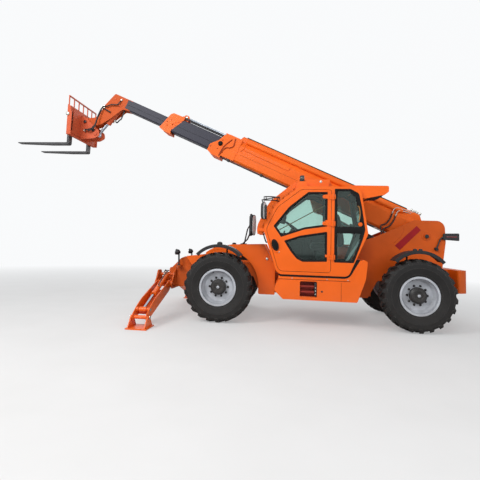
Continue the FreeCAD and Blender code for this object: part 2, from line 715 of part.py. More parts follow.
def roof_guard():
    """The guard of two bent side plates, round bars and a sill over the roof window and windscreen."""
    reach = slab("y", [(1400, 2440), (1575, 2750), (3100, 2750), (3100, 1600), (2300, 1600), (1900, 2300)],
                 cab_right, cab_left)
    plates = []
    for y in guard_plate_y:
        ring = cut(slab("y", cab_outline, y, y + 14, guard_off + guard_depth),
                   slab("y", cab_outline, y - 1, y + 15, guard_off)).common(reach)
        feet = [slab("y", [(x, z), (x + 60, z), (x + 60, z + 110), (x, z + 110)], y, y + 14)
                for x, z in ((1480, 2440), (2010, 2410))]
        plates.append(fuse(ring, *feet))
    middle = guard_off + guard_depth / 2
    path = outline_face("y", cab_outline, 0).makeOffset2D(middle).OuterWire
    stations = guard_stations(path)
    bars = [pin("y", x, z, 12, 365, 960) for x, z in stations]
    low_x, low_z = min(stations, key=lambda station: station[1])
    sill = pin("y", low_x, low_z, 14, 272, 1148)
    brackets = [slab("y", [(low_x - 130, low_z - 24), (low_x + 10, low_z - 24, 8), (low_x + 16, low_z + 20, 8),
                           (low_x - 130, low_z + 34)], y, y + 12) for y in (276, 1132)]
    return cut(fuse(*plates, *bars, sill, *brackets), slab("y", cab_outline, cab_right, cab_left, seat_gap))


def guard_stations(path):
    """Centres of the guard's round bars, evenly spaced along the curve that the plates follow."""
    spacing = 130.0
    count = int(path.Length // spacing)
    points = path.discretize(Number=count)
    return [(p.x, p.z) for p in points if p.x > 1650 and p.z > 1640]


def cab_seat():
    """The driver's cushion and backrest."""
    shape = [(1310, seat_bottom, 30), (1810, seat_bottom, 45), (1810, seat_bottom + 105, 45), (1440, 1440, 60),
             (1320, 2010, 50), (1200, 1995, 50), (1290, 1400, 60)]
    return slab("y", shape, 480, 960)


def cab_controls():
    """Seat box, dash, steering column and wheel."""
    floor = 905 + cab_wall + seat_gap
    seat_box = block((1330, 1720), (520, 920), (floor, seat_bottom - seat_gap))
    dash = slab("y", [(2180, floor), (2290, floor), (2480, 1540, 40), (2330, 1640, 40), (2250, 1500, 60)], 520, 980)
    column = bar(V(2290, 720, 1480), V(2110, 720, 1740), 32)
    hub_at = V(2110, 720, 1740)
    axis = V(-180, 0, 260).normalize()
    section = [(14 * math.cos(math.radians(45 * i)), 185 + 14 * math.sin(math.radians(45 * i))) for i in range(8)]
    hoop = turned(section, hub_at, axis, V(0, 1, 0))
    spoke = V(0, 1, 0)
    spokes = [bar(hub_at - spoke * 180, hub_at + spoke * 180, 11), bar(hub_at, hub_at + V(260, 0, 180).normalize() * 180, 11)]
    boss = bar(hub_at - axis * 20, hub_at + axis * 20, 40)
    console = slab("y", [(1330, floor), (1950, floor), (1950, 1500, 60), (1330, 1560, 60)], 330, 455)
    return [seat_box, fuse(dash, column, hoop, boss, *spokes), console]


def lamps_and_mirrors():
    """Headlamps on stalks, the driver's two mirrors on their arms, and the roof beacon."""
    pieces = []
    for side in (1, -1):
        y = side * 540
        stalk = bar(V(4335, y, 965), V(4345, y, 1190), 16)
        foot = block((4300, 4372), (y - 30, y + 30), (lamp_shelf + seat_gap, 968))
        head = turned([(-30, 0), (-30, 20), (0, 52), (55, 58), (55, 0)], V(4345, y, 1210), V(1, 0, 0.12), V(0, 0, 1))
        pieces.append(fuse(stalk, foot, head))
    arm = fuse(bar(V(2390, guard_plate_y[1] + 14 + seat_gap, 2262), V(2390, 1205, 2262), 9), bar(V(2390, 1205, 2262), V(2694, 1205, 2203), 9),
               bar(V(2694, 1205, 2203), V(2625, 1205, 2000), 9), ball(V(2390, 1205, 2262), 9), ball(V(2694, 1205, 2203), 9))
    plate_face = slab("x", [(1125, 1864, 45), (1285, 1864, 45), (1285, 2113, 45), (1125, 2113, 45)], 2604, 2632)
    pieces.append(fuse(arm, plate_face))
    ends = [(x, body_top(x) + seat_gap) for x in (3010, 3110)]
    foot = slab("y", [*ends, (3110, 1420), (3010, 1424)], 440, 540)
    stalk = fuse(bar(V(3060, 500, 1412), V(3000, 520, 1700), 13), bar(V(3000, 520, 1700), V(2925, 900, 1760), 11),
                 ball(V(3000, 520, 1700), 13), bar(V(2925, 900, 1560), V(2925, 900, 1930), 11))
    oval = slab("x", [(790, 1565, 90), (1010, 1565, 90), (1010, 1972, 90), (790, 1972, 90)], 2885, 2918)
    pieces.append(fuse(stalk, foot, oval))
    mount = rail_outer + seat_gap
    knob = pin("y", -530, 1430, 32, mount, mount + 34)
    arm = fuse(knob, bar(V(-530, mount + 24, 1430), V(-602, mount + 24, 1612), 13), bar(V(-602, mount + 24, 1612), V(-655, mount + 24, 1660), 13),
               ball(V(-602, mount + 24, 1612), 13))
    board = slab("y", [(-930, 1590, 15), (-645, 1605, 20), (-655, 1722, 20), (-930, 1730, 15)], mount + 8, mount + 42)
    pieces.append(fuse(arm, board))
    beacon = spun_up([(0, 0), (0, 46), (14, 50), (18, 42), (104, 38), (112, 30), (112, 0)], V(1990, 1060, beacon_foot + seat_gap))
    return pieces + [beacon]


def spun_up(profile, foot):
    """A closed (height, radius) outline spun about a vertical line."""
    return turned(profile, foot, V(0, 0, 1), V(1, 0, 0))


def tube_section(points, low, high, wall):
    """A boom section: a mirrored half outline of (y, v) points as a tube with a wall."""
    closed = points + [(-y, v) for y, v in reversed(points)]
    outside = slab("x", closed, low, high)
    inside = slab("x", closed, low - 1, high + 1, -wall)
    return cut(outside, inside)


outer_half = [(outer_half_width - 35, outer_bottom), (outer_half_width, outer_bottom + 35),
              (outer_half_width, outer_crease), (ridge_half_width, outer_shoulder),
              (ridge_half_width, outer_top - 30), (ridge_half_width - 30, outer_top)]
mid_half = [(mid_half_width - 25, mid_bottom), (mid_half_width, mid_bottom + 25), (mid_half_width, mid_top - 20),
            (mid_half_width - 20, mid_top)]
inner_half = [(inner_half_width - 20, inner_bottom), (inner_half_width, inner_bottom + 20),
              (inner_half_width, inner_top - 16), (inner_half_width - 16, inner_top)]


def boom_outer():
    """The fixed-length root section, with pivot tube, front collar, wear pads and lift lugs."""
    tube = tube_section(outer_half, outer_rear, outer_front, outer_wall)
    swept = slab("y", [(outer_rear - 5, outer_shoulder), (90, outer_shoulder), (200, outer_top + 5),
                       (outer_rear - 5, outer_top + 5)], -200, 200)
    front_step = slab("y", [(4030, outer_top + 5), (4070, 300), (outer_front + 5, 300), (outer_front + 5, outer_top + 5)],
                      -200, 200)
    tube = cut(tube, swept, front_step)
    pivot_tube = pin("y", 0, 0, 82, 30 - rail_y + 4, rail_y - 34)
    tip = outer_collar_front
    collar_side = [(tip - 607, outer_bottom, 10), (tip - 307, outer_bottom, 10), (tip - 317, -240, 10),
                   (tip - 117, -240, 15), (tip, outer_bottom - 4, 12), (tip, -50, 40), (tip - 144, 100, 60),
                   (tip - 213, 250, 40), (tip - 317, 300, 20), (tip - 607, 300, 10)]
    low = outer_half_width - 12
    collar = [slab("y", collar_side, low, low + collar_thickness),
              slab("y", collar_side, -low - collar_thickness, -low)]
    sole = block((tip - 315, tip - 119), (-low - 2, low + 2), (-240, -205))
    rod_room = extension_rod_radius + move_gap
    bridges = [block((tip - 327, tip - 222), sorted((s * rod_room, s * (low + 2))), (275, 300)) for s in (1, -1)]
    lip = block((tip - 327, tip - 200), (-low - 2, low + 2), (mid_top + 12, mid_top + 22))
    pads = [block((tip - 310, tip - 137), (-mid_half_width + 20, mid_half_width - 20), (-206, mid_bottom - seat_gap)),
            block((tip - 320, tip - 210), (-mid_half_width + 30, mid_half_width - 30), (mid_top + seat_gap, mid_top + 13))]
    for side in (1, -1):
        y = sorted((side * (mid_half_width + seat_gap), side * (low + 2)))
        pads.append(block((tip - 307, tip - 170), y, (-90, 120)))
    lug_side = [(lift_eye_u - 260, outer_bottom + 2), (lift_eye_u + 260, outer_bottom + 2), (lift_eye_u + 60, lift_eye_v - 60, 50),
                (lift_eye_u - 60, lift_eye_v - 60, 50)]
    lugs = [slab("y", lug_side, y - 12, y + 12) for y in (100, -100)]
    studs = [pin("y", lift_eye_u, lift_eye_v, 42, *sorted((s * 100, s * 126))) for s in (1, -1)]
    solid = fuse(tube, pivot_tube, *collar, sole, *bridges, lip, *pads, *lugs, *studs)
    return on_boom(cut(solid, pin("y", 0, 0, boom_pin_radius + pin_fit, -rail_y, rail_y)))


def boom_mid():
    """The middle section with its collar, rear wear pads, extension rod and steel pipes."""
    tube = tube_section(mid_half, mid_rear, mid_front, mid_wall)
    collar_side = [(5530, mid_bottom - 3, 10), (5510, -205, 10), (5655, -212, 15), (mid_collar_front, mid_bottom - 22, 12),
                   (5687, mid_top + 3, 40), (5636, 234, 30), (5350, 240, 30), (5376, 156, 20), (5560, 20, 60)]
    low = mid_half_width - 10
    collar = [slab("y", collar_side, low, low + collar_thickness),
              slab("y", collar_side, -low - collar_thickness, -low)]
    top = block((5400, 5640), (-low - 2, low + 2), (mid_top - 2, mid_top + 16))
    sole = block((5520, 5650), (-low - 2, low + 2), (-205, -180))
    pads = [block((5560, 5680), (-inner_half_width + 20, inner_half_width - 20), (-181, inner_bottom - seat_gap)),
            block((5540, 5660), (-inner_half_width + 20, inner_half_width - 20), (inner_top + seat_gap, mid_top + 10))]
    for side in (1, -1):
        y = sorted((side * (inner_half_width + seat_gap), side * (low + 2)))
        pads.append(block((5560, 5660), y, (-80, 70)))
    inside_y = outer_half_width - outer_wall - seat_gap
    runners = []
    for side in (1, -1):
        runners.append(block((mid_rear + 20, mid_rear + 160), sorted((side * (mid_half_width - 2), side * inside_y)), (-90, 110)))
    runners.append(block((mid_rear + 20, mid_rear + 160), (-90, 90), (outer_bottom + outer_wall + seat_gap, mid_bottom + 2)))
    eye = pin("y", 5355, 272, 44, -60, 60)
    cheeks = [slab("y", [(5290, mid_top - 2), (5470, mid_top - 2), (5400, 318, 36), (5310, 318, 36)], y - 10, y + 10)
              for y in (72, -72)]
    cross_pin = pin("y", 5355, 272, 20, -90, 90)
    rod = bar(V(2450, 0, 272), V(5355, 0, 272), extension_rod_radius)
    pipes = [bar(V(2450, side * 100, v), V(5420, side * 100, v), 9) for side in (1, -1) for v in (mid_top + 38, mid_top + 63)]
    rests = [block((5400, 5440), sorted((side * 89, side * 111)), (mid_top - 2, mid_top + 75)) for side in (1, -1)]
    return on_boom(fuse(tube, *collar, top, sole, *pads, *runners, eye, *cheeks, cross_pin, rod, *pipes, *rests))


def boom_inner():
    """The front section with the down-turned head that carries the carriage."""
    tube = tube_section(inner_half, inner_rear, inner_front, inner_wall)
    side = [(6600, inner_top - 4, 10), (7064, inner_top - 4, 40), (7176, -233, 200), (7200, -540, 200),
            (carriage_pin_u + 75, carriage_pin_v + 75, 70), (carriage_pin_u + 60, carriage_pin_v - 75, 70),
            (carriage_pin_u - 90, carriage_pin_v - 70, 60), (7052, -640, 150), (6914, -438, 300), (6755, -149, 60),
            (6600, inner_bottom + 4, 10)]
    plates = [slab("y", side, *sorted((s * head_plate_y, s * (head_plate_y + head_plate_thickness)))) for s in (1, -1)]
    web = [slab("y", [(6600, inner_top - 12), (7040, inner_top - 12), (7158, -233), (7186, -560), (7172, -560), (7144, -233),
                      (7030, inner_top - 26), (6600, inner_top - 26)], -head_plate_y - 2, head_plate_y + 2)]
    pivot = pin("y", carriage_pin_u, carriage_pin_v, 62, -head_plate_y - 24, head_plate_y + 24)
    boss_low = tilt_barrel_radius + move_gap
    bosses = [pin("y", tilt_base_u, tilt_base_v, tilt_boss_radius, *sorted((s * boss_low, s * (head_plate_y + 26))))
              for s in (1, -1)]
    stub = pin("y", tilt_base_u, tilt_base_v, 30, -head_plate_y, head_plate_y)
    runners = []
    inside_y = mid_half_width - mid_wall - seat_gap
    for s in (1, -1):
        y = sorted((s * (inner_half_width - 2), s * inside_y))
        runners.append(block((inner_rear + 20, inner_rear + 140), y, (-70, 60)))
    runners.append(block((inner_rear + 20, inner_rear + 140), (-70, 70), (mid_bottom + mid_wall + seat_gap, inner_bottom + 2)))
    solid = fuse(tube, *plates, *web, pivot, *bosses, stub, *runners)
    return on_boom(cut(solid, pin("y", carriage_pin_u, carriage_pin_v, carriage_pin_radius + pin_fit, -200, 200)))


def xz(point, y=0.0):
    """A point of the machine's middle plane, or of a plane beside it."""
    return V(point[0], y, point[1])


def cylinder_pair(base, eye, neck, barrel_length, barrel_radius, rod_radius, width, eye_radius, pin_radius, rod_start,
                  reach):
    """A barrel bored for a rod, with an eye on the base pin; the rod ends in an eye with two stub pins."""
    direction = (eye - base).normalize()
    across = V(0, 1, 0) if abs(direction.y) < 1e-9 else V(1, 0, 0)
    half = across * (width / 2)
    gland = barrel_radius + 6
    body = fuse(bar(base + direction * eye_radius * 0.7, base + direction * (neck + 5), min(barrel_radius, width / 2 - 4)),
                bar(base + direction * neck, base + direction * barrel_length, barrel_radius),
                bar(base + direction * (barrel_length - 60), base + direction * barrel_length, gland),
                bar(base - half, base + half, eye_radius))
    bore = bar(base + direction * (neck + barrel_end), base + direction * (barrel_length + 1), rod_radius + seat_gap)
    barrel = cut(body, bore, bar(base - half * 1.1, base + half * 1.1, pin_radius + pin_fit))
    rod = fuse(bar(base + direction * rod_start, eye, rod_radius), bar(eye - half, eye + half, eye_radius),
               bar(eye - across * reach, eye + across * reach, pin_radius))
    return barrel, rod


def carriage():
    """The fork carriage: side plates, cross beams, back plate, lugs and load backrest."""
    back = fork_x - seat_gap
    side = [(back - 95, carriage_bottom_z, 10), (back, carriage_bottom_z, 10), (back, carriage_top_z + 30, 10),
            (back - 30, carriage_top_z + 30, 10), (back - 95, carriage_top_z - 140, 60)]
    sides = [slab("y", side, *sorted((s * (carriage_half_width - 20), s * carriage_half_width))) for s in (1, -1)]
    beams = [block((back - 70, back), (-carriage_half_width + 1, carriage_half_width - 1), (z, z + 100))
             for z in (carriage_bottom_z, carriage_top_z - 100)]
    plate_back = block((back - 80, back - 64), (-470, 470), (carriage_bottom_z + 40, carriage_top_z - 20))
    px, pz = carriage_pin
    ex, ez = tilt_eye
    lug = [(back - 60, pz + 150, 20), (px - 40, pz + 95, 50), (px - 105, pz + 10, 50), (ex - 75, ez + 60, 60),
           (ex - 90, ez - 50, 50), (ex + 20, ez - 110, 60), (back - 60, carriage_bottom_z + 10, 20)]
    lug_y = head_plate_y + head_plate_thickness + 10
    lugs = [slab("y", lug, *sorted((s * lug_y, s * (lug_y + 25)))) for s in (1, -1)]
    opening = block((back - 200, back - 50), (-head_plate_y - 40, head_plate_y + 40), (pz - 160, pz + 140))
    cross = pin("y", px, pz, carriage_pin_radius, -lug_y - 44, lug_y + 44)
    studs = [pin("y", ex, ez, 44, *sorted((s * (lug_y + 2), s * (lug_y + 40)))) for s in (1, -1)]
    bar_spacing = 2 * (carriage_half_width - 12) / 6
    uprights = [block((back - 30, back - 14), (y - 12, y + 12), (carriage_top_z - 40, backrest_top_z - 10))
                for y in [12 - carriage_half_width + bar_spacing * i for i in range(7)]]
    rail = block((back - 34, back - 10), (-carriage_half_width, carriage_half_width), (backrest_top_z - 26, backrest_top_z))
    return fuse(cut(fuse(*beams, plate_back), opening), *sides, *lugs, cross, *studs, *uprights, rail)


def fork(y):
    """One pallet fork: upright shank, tapered blade, and hooks over the carriage."""
    front = fork_x + fork_thickness
    top = fork_bottom_z + fork_thickness
    shape = [(fork_x, fork_bottom_z, 40), (fork_x + 420, fork_bottom_z), (fork_tip_x, top - 18, 6), (fork_tip_x, top, 6),
             (front, top, 12), (front, carriage_top_z - 20, 15), (fork_x, carriage_top_z - 20, 15)]
    return slab("y", shape, y - fork_width / 2, y + fork_width / 2)


def stabiliser_leg():
    """The left leg: two side plates, a floor, and the pin bosses at both ends."""
    side = [(-72, -60, 55), (-72, 66, 60), (160, 92, 200), (880, 128, 300), (1120, 104, 150),
            (leg_length + 60, 58, 52), (leg_length + 60, -56, 52), (1120, -66, 200), (120, -100, 200)]
    drawn = [(*leg_point(s, t), r) for s, t, r in side]
    low, high = leg_x - leg_half_width, leg_x + leg_half_width
    plates = [slab("x", drawn, low, low + leg_wall), slab("x", drawn, high - leg_wall, high)]
    floor = slab("x", [leg_point(*p) for p in ((130, -92), (1080, -62), (1080, -48), (130, -78))], low + 1, high - 1)
    rib = slab("x", [leg_point(*p) for p in ((1075, -62), (1090, -62), (1090, -5), (1075, -5))], low + 1, high - 1)
    inner, outer = strut_barrel_radius + 3 * move_gap, bracket_half_gap - 1
    bosses = [pin("x", leg_pivot_y, leg_pivot_z, 55, *sorted((leg_x + s * inner, leg_x + s * outer))) for s in (1, -1)]
    foot = pin("x", *foot_pin, leg_pin_radius, low - 34, high + 34)
    bosses += [pin("x", *strut_eye, 36, low, low + 46), pin("x", *strut_eye, 36, high - 46, high)]
    solid = fuse(*plates, floor, rib, foot, *bosses)
    return cut(solid, pin("x", leg_pivot_y, leg_pivot_z, leg_pin_radius + pin_fit, leg_x - 200, leg_x + 200))


def stabiliser_pad():
    """The left foot: a ground plate with two gussets on the leg's end pin."""
    y, z = foot_pin
    sole = block((leg_x - pad_length / 2, leg_x + pad_length / 2), (y - pad_width / 2, y + pad_width / 2), (0, pad_thickness))
    shape = [(y - pad_width / 2 + 10, pad_thickness - 1), (y + pad_width / 2 - 10, pad_thickness - 1),
             (y + 45, z + 30, 40), (y - 45, z + 30, 40)]
    gap = leg_half_width + move_gap
    gussets = [slab("x", shape, *sorted((leg_x + s * gap, leg_x + s * (gap + 16)))) for s in (1, -1)]
    bore = pin("x", y, z, leg_pin_radius + pin_fit, leg_x - 300, leg_x + 300)
    return cut(fuse(sole, *gussets), bore)


def build():
    """Every node of the machine by name."""
    nodes = {"frame_sides": frame_sides(), "frame_members": frame_members(), "front_body": both_sides(front_body()),
             "axles": [axle(wheel_base), axle(0.0)],
             "side_tank": [side_tank()], "engine_pod": [engine_pod()], "engine_hood": [engine_hood()],
             "engine_block": [engine_block()]}
    shell = fuse(cab_shell(), *hinge_pins())
    nodes.update({"cab_shell": [shell], "cab_roof": cab_roof(), "roof_guard": [roof_guard()], "cab_glass": cab_glass(), "cab_seat": [cab_seat()],
                  "cab_controls": cab_controls(), "cab_door": [cab_door()], "door_glass": door_glass(),
                  "lamps_and_mirrors": lamps_and_mirrors()})
    left_tyre, left_rim = tyre(), rim()
    for place, x in (("front", wheel_base), ("rear", 0.0)):
        carrier = knuckle(x)
        for side in ("left", "right"):
            pieces = {"tyre": [left_tyre], "rim": left_rim}
            for kind, solids in pieces.items():
                moved = [s.translated(V(x, 0, 0)) for s in solids]
                nodes[f"{kind}_{place}_{side}"] = moved if side == "left" else [mirrored(s) for s in moved]
            nodes[f"knuckle_{place}_{side}"] = [carrier if side == "left" else mirrored(carrier)]
    nodes.update({"boom_outer": [boom_outer()], "boom_mid": [boom_mid()], "boom_inner": [boom_inner()]})
    lift_barrel, lift_rod = cylinder_pair(xz(lift_base), xz(lift_eye), lift_neck, lift_barrel_length, lift_barrel_radius,
                                          lift_rod_radius, 90, 66, 35, lift_rod_start, 82)
    tilt_barrel, tilt_rod = cylinder_pair(xz(tilt_base), xz(tilt_eye), tilt_neck, tilt_barrel_length, tilt_barrel_radius,
                                          tilt_rod_radius, 90, 48, 30, tilt_rod_start, 116)
    nodes.update({"lift_barrel": [lift_barrel], "lift_rod": [lift_rod], "tilt_barrel": [tilt_barrel],
                  "tilt_rod": [tilt_rod], "carriage": [carriage()], "forks": [fork(fork_y), fork(-fork_y)]})
    strut_barrel, strut_rod = cylinder_pair(V(leg_x, *strut_base), V(leg_x, *strut_eye), strut_neck, strut_barrel_length,
                                            strut_barrel_radius, strut_rod_radius, 110, 44, leg_pin_radius,
                                            strut_rod_start, 72)
    left = {"stabiliser_leg": stabiliser_leg(), "stabiliser_pad": stabiliser_pad(),
            "stabiliser_barrel": strut_barrel, "stabiliser_rod": strut_rod}
    for name, solid in left.items():
        nodes[name + "_left"] = [solid]
        nodes[name + "_right"] = [mirrored(solid)]
    return nodes


def centring(nodes):
    """The move that puts the origin at the middle of the footprint, on the ground."""
    box = Part.makeCompound([s for solids in nodes.values() for s in solids]).BoundBox
    return V(-(box.XMin + box.XMax) / 2, -(box.YMin + box.YMax) / 2, -box.ZMin)


nodes = build()
shift = centring(nodes)
os.makedirs("parts", exist_ok=True)
for name, solids in nodes.items():
    shape = solids[0] if len(solids) == 1 else Part.makeCompound(solids)
    shape.translated(shift).exportStep(f"parts/{name}.step")
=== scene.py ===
"""Looks of the telehandler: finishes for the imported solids, and the small parts that dress them.

Lengths are metres. Places are given from the ground point below the rear axle, X forward, Y to the left
(the cab side), Z up, and along and square to the boom from its pivot.
"""
import json
import math

import bmesh
import bpy
from bpy.props import FloatProperty, FloatVectorProperty, PointerProperty
from mathutils import Matrix, Vector
from mathutils.bvhtree import BVHTree


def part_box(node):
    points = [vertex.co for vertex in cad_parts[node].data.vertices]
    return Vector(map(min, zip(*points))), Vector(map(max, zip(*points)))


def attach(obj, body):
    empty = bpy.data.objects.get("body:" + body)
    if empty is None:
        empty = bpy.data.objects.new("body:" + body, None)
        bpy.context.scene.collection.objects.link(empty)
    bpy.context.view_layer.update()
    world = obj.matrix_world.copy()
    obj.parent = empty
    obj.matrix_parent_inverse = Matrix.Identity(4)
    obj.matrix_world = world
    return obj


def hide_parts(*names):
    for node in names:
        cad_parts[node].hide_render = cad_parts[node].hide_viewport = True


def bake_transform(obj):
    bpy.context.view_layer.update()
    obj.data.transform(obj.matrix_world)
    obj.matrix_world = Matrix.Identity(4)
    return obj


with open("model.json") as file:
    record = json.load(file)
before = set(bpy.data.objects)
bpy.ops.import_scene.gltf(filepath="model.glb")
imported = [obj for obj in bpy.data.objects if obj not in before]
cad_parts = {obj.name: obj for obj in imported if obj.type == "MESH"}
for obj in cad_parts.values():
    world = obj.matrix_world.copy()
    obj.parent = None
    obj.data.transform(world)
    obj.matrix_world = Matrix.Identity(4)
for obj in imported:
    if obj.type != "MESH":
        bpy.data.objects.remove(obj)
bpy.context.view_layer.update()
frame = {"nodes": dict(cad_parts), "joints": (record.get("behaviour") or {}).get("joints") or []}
nodes = frame["nodes"]

bl_info = {
    "name": "Telehandler finish",
    "version": (1, 0, 0),
    "blender": (4, 5, 0),
    "location": "View3D > Sidebar > Telehandler",
    "description": "Paint, rubber, glass, hoses and fittings for a telescopic handler",
    "category": "Object",
}

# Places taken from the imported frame
rear_low, rear_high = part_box("rim_rear_left")
front_low, front_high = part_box("rim_front_left")
axle_x = (rear_low.x + rear_high.x) / 2
wheel_base = (front_low.x + front_high.x) / 2 - axle_x
wheel_z = (rear_low.z + rear_high.z) / 2
joints = {joint["name"]: joint for joint in frame["joints"]}
boom_pivot = Vector(joints["boom_lift"]["pos_m"])
boom_axis = Vector(joints["boom_telescope"]["axis"]).normalized()
boom_up = Vector((-boom_axis.z, 0, boom_axis.x))

forwards, leftwards, upwards = Vector((1, 0, 0)), Vector((0, 1, 0)), Vector((0, 0, 1))
sides = {"left": 1, "right": -1}


def at(x, y, z):
    """A point given from below the rear axle."""
    return Vector((axle_x + x, y, z))


def on_boom(u, y, v):
    """A point given along and square to the boom."""
    return boom_pivot + boom_axis * u + boom_up * v + leftwards * y


def side_line(y, places):
    """Points at one width, from pairs of forward and upward places."""
    return [at(x, y, z) for x, z in places]


def boom_line(y, places):
    """Points at one width, from pairs of places along and square to the boom."""
    return [on_boom(u, y, v) for u, v in places]


def spoke(side, up, turn):
    """A direction turned from one towards another that is square to it."""
    return side * math.cos(turn) + up * math.sin(turn)


def circle(centre, side, up, radius, count):
    """Points round a centre, even turns apart."""
    return [centre + spoke(side, up, 2 * math.pi * k / count) * radius for k in range(count)]


def turned_about_y(degrees):
    return Matrix.Rotation(math.radians(degrees), 3, "Y")


class PaintSettings(bpy.types.PropertyGroup):
    """Colours of the finishes"""

    orange: FloatVectorProperty(name="Orange",
        description="Paint of the cab, the body and the legs", subtype="COLOR", default=(0.82, 0.122, 0.004))
    slate: FloatVectorProperty(name="Slate",
        description="Paint of the inner boom sections", subtype="COLOR", default=(0.036, 0.036, 0.052))
    silver: FloatVectorProperty(name="Silver",
        description="Paint of the wheel rims", subtype="COLOR", default=(0.50, 0.52, 0.56))
    black: FloatVectorProperty(name="Black",
        description="Plastic, lamps and hubs", subtype="COLOR", default=(0.018, 0.018, 0.020))
    rubber: FloatVectorProperty(name="Rubber",
        description="Tyres and hoses", subtype="COLOR", default=(0.013, 0.0125, 0.0125))
    steel: FloatVectorProperty(name="Fork steel",
        description="Worn dark steel of the forks", subtype="COLOR", default=(0.070, 0.070, 0.074))
    # Darker red given to the faces inside the step's recess
    oxide: FloatVectorProperty(name="Oxide red",
        description="Dark red steel inside the step", subtype="COLOR", default=(0.30, 0.024, 0.012))
    tint: FloatVectorProperty(name="Glass tint",
        description="Green tint of the panes", subtype="COLOR", default=(0.78, 0.885, 0.855))


class StageSettings(bpy.types.PropertyGroup):
    """Camera, floor and light"""

    eye: FloatVectorProperty(name="Camera",
        description="Place from below the rear axle", unit="LENGTH", default=(2.3064, 7.9913, 1.4098))
    yaw: FloatProperty(name="Yaw", description="Turn about the vertical", subtype="ANGLE", default=-0.1148)
    pitch: FloatProperty(name="Pitch", description="Upward tilt of the view", subtype="ANGLE", default=0.0803)
    roll: FloatProperty(name="Roll", description="Roll of the view", subtype="ANGLE", default=0.0315)
    lens: FloatProperty(name="Lens", description="Focal length on a 36 mm sensor, in mm", default=28.8158)
    sun: FloatProperty(name="Key light", description="Strength of the lamps", default=3.1)
    fill: FloatProperty(name="Fill", description="Strength of the even light around", default=0.48)


class DetailSettings(bpy.types.PropertyGroup):
    """Sizes of the hydraulic lines"""

    hose: FloatProperty(name="Hose", description="Outer radius of a thick hose", unit="LENGTH", default=0.013)
    pipe: FloatProperty(name="Pipe", description="Outer radius of a steel pipe", unit="LENGTH", default=0.009)


def details():
    return bpy.context.scene.telehandler_detail


# Shader nodes

def set_inputs(tree, made, **inputs):
    """Sets inputs by name, with low lines for spaces. Another node's output is joined instead."""
    for name, value in inputs.items():
        feed(tree, made.inputs[name.replace("_", " ")], value)


def feed(tree, socket, value):
    if isinstance(value, bpy.types.NodeSocket):
        tree.links.new(value, socket)
    else:
        socket.default_value = value


def node(tree, kind, **values):
    """A shader node. Names in small letters are its settings, and names with a capital are its inputs."""
    made = tree.nodes.new("ShaderNode" + kind)
    for name, value in values.items():
        if name.islower():
            setattr(made, name, value)
        else:
            set_inputs(tree, made, **{name: value})
    return made


def sum_of(tree, operation, *inputs, kind="Math"):
    """The result of a sum on one or two values."""
    made = node(tree, kind, operation=operation)
    for socket, value in zip(made.inputs, inputs):
        feed(tree, socket, value)
    return made.outputs["Value"]


def noise(tree, place, scale, detail):
    return node(tree, "TexNoise", Vector=place, Scale=scale, Detail=detail).outputs["Fac"]


def ranged(tree, value, **limits):
    """A value stretched from one range to another."""
    return node(tree, "MapRange", Value=value, **limits).outputs["Result"]


def toned(tree, value, *stops):
    """A colour between two stops, each a position and a colour."""
    tone = node(tree, "ValToRGB", Fac=value)
    for element, (position, colour) in zip(tone.color_ramp.elements, stops):
        element.position = position
        element.color = (*colour, 1)
    return tone.outputs["Color"]


def bumped(tree, height, strength, depth):
    """A node that roughens the surface by a height."""
    return node(tree, "Bump", Height=height, Strength=strength, Distance=depth)


def mix_surfaces(tree, share, first, second, output):
    """Mixes two surfaces by a share, and leads them to the output."""
    mix = node(tree, "MixShader", Fac=share)
    feed(tree, mix.inputs[1], first)
    feed(tree, mix.inputs[2], second)
    set_inputs(tree, tree.nodes[output], Surface=mix.outputs["Shader"])


def cover(tree, share, paint, colour):
    """A paint with a second colour laid over it where a share is high."""
    mix = node(tree, "Mix", data_type="RGBA")
    feed(tree, mix.inputs["Factor"], share)
    under, over = [socket for socket in mix.inputs if socket.type == "RGBA"]
    feed(tree, under, paint)
    feed(tree, over, (*colour, 1))
    return [socket for socket in mix.outputs if socket.type == "RGBA"][0]


# Finishes

def new_finish(name):
    """A material with its nodes, its surface shader and the place on the piece."""
    made = bpy.data.materials.new(name)
    made.use_nodes = True
    tree = made.node_tree
    return made, tree, tree.nodes["Principled BSDF"], node(tree, "TexCoord").outputs["Object"]


def finish(name, colour, shade, roughness=0.4, metallic=0.0, coat=0.0, grain=6.0, grit=0.02, rounding=0.006,
           spread=0.12, gleam=0.35, dust=None, edge_wear_and_light=None):
    """A surface with two tones in large patches, uneven gloss, fine grain, softly rounded edges, and a colour
    along the edges: wear on some finishes, painted light on others.
    """
    made, tree, surface, place = new_finish(name)
    patches = noise(tree, place, grain, 6.0)
    paint = toned(tree, patches, (0.35, shade), (0.68, colour))
    if dust:
        paint = dusty(tree, place, paint, *dust)
    if edge_wear_and_light:
        paint = tinted_edges(tree, place, paint, *edge_wear_and_light)
    sheen = ranged(tree, patches, To_Min=roughness - spread / 2, To_Max=roughness + spread / 2)
    bump = bumped(tree, noise(tree, place, grain * 40, 2.0), grit, 0.01)
    set_inputs(tree, bump, Normal=node(tree, "Bevel", samples=4, Radius=rounding).outputs["Normal"])
    set_inputs(tree, surface, Base_Color=paint, Metallic=metallic, Roughness=sheen, Coat_Weight=coat,
               Coat_Roughness=0.12, Specular_IOR_Level=gleam, Normal=bump.outputs["Normal"])
    return made


def dusty(tree, place, paint, colour, height, amount):
    """Dust over a paint, thick at the ground and gone at a height, broken up by noise."""
    level = node(tree, "SeparateXYZ", Vector=place).outputs["Z"]
    fade = ranged(tree, level, From_Min=0.0, From_Max=height, To_Min=amount, To_Max=0.0)
    return cover(tree, sum_of(tree, "MULTIPLY", fade, noise(tree, place, 9.0, 8.0)), paint, colour)


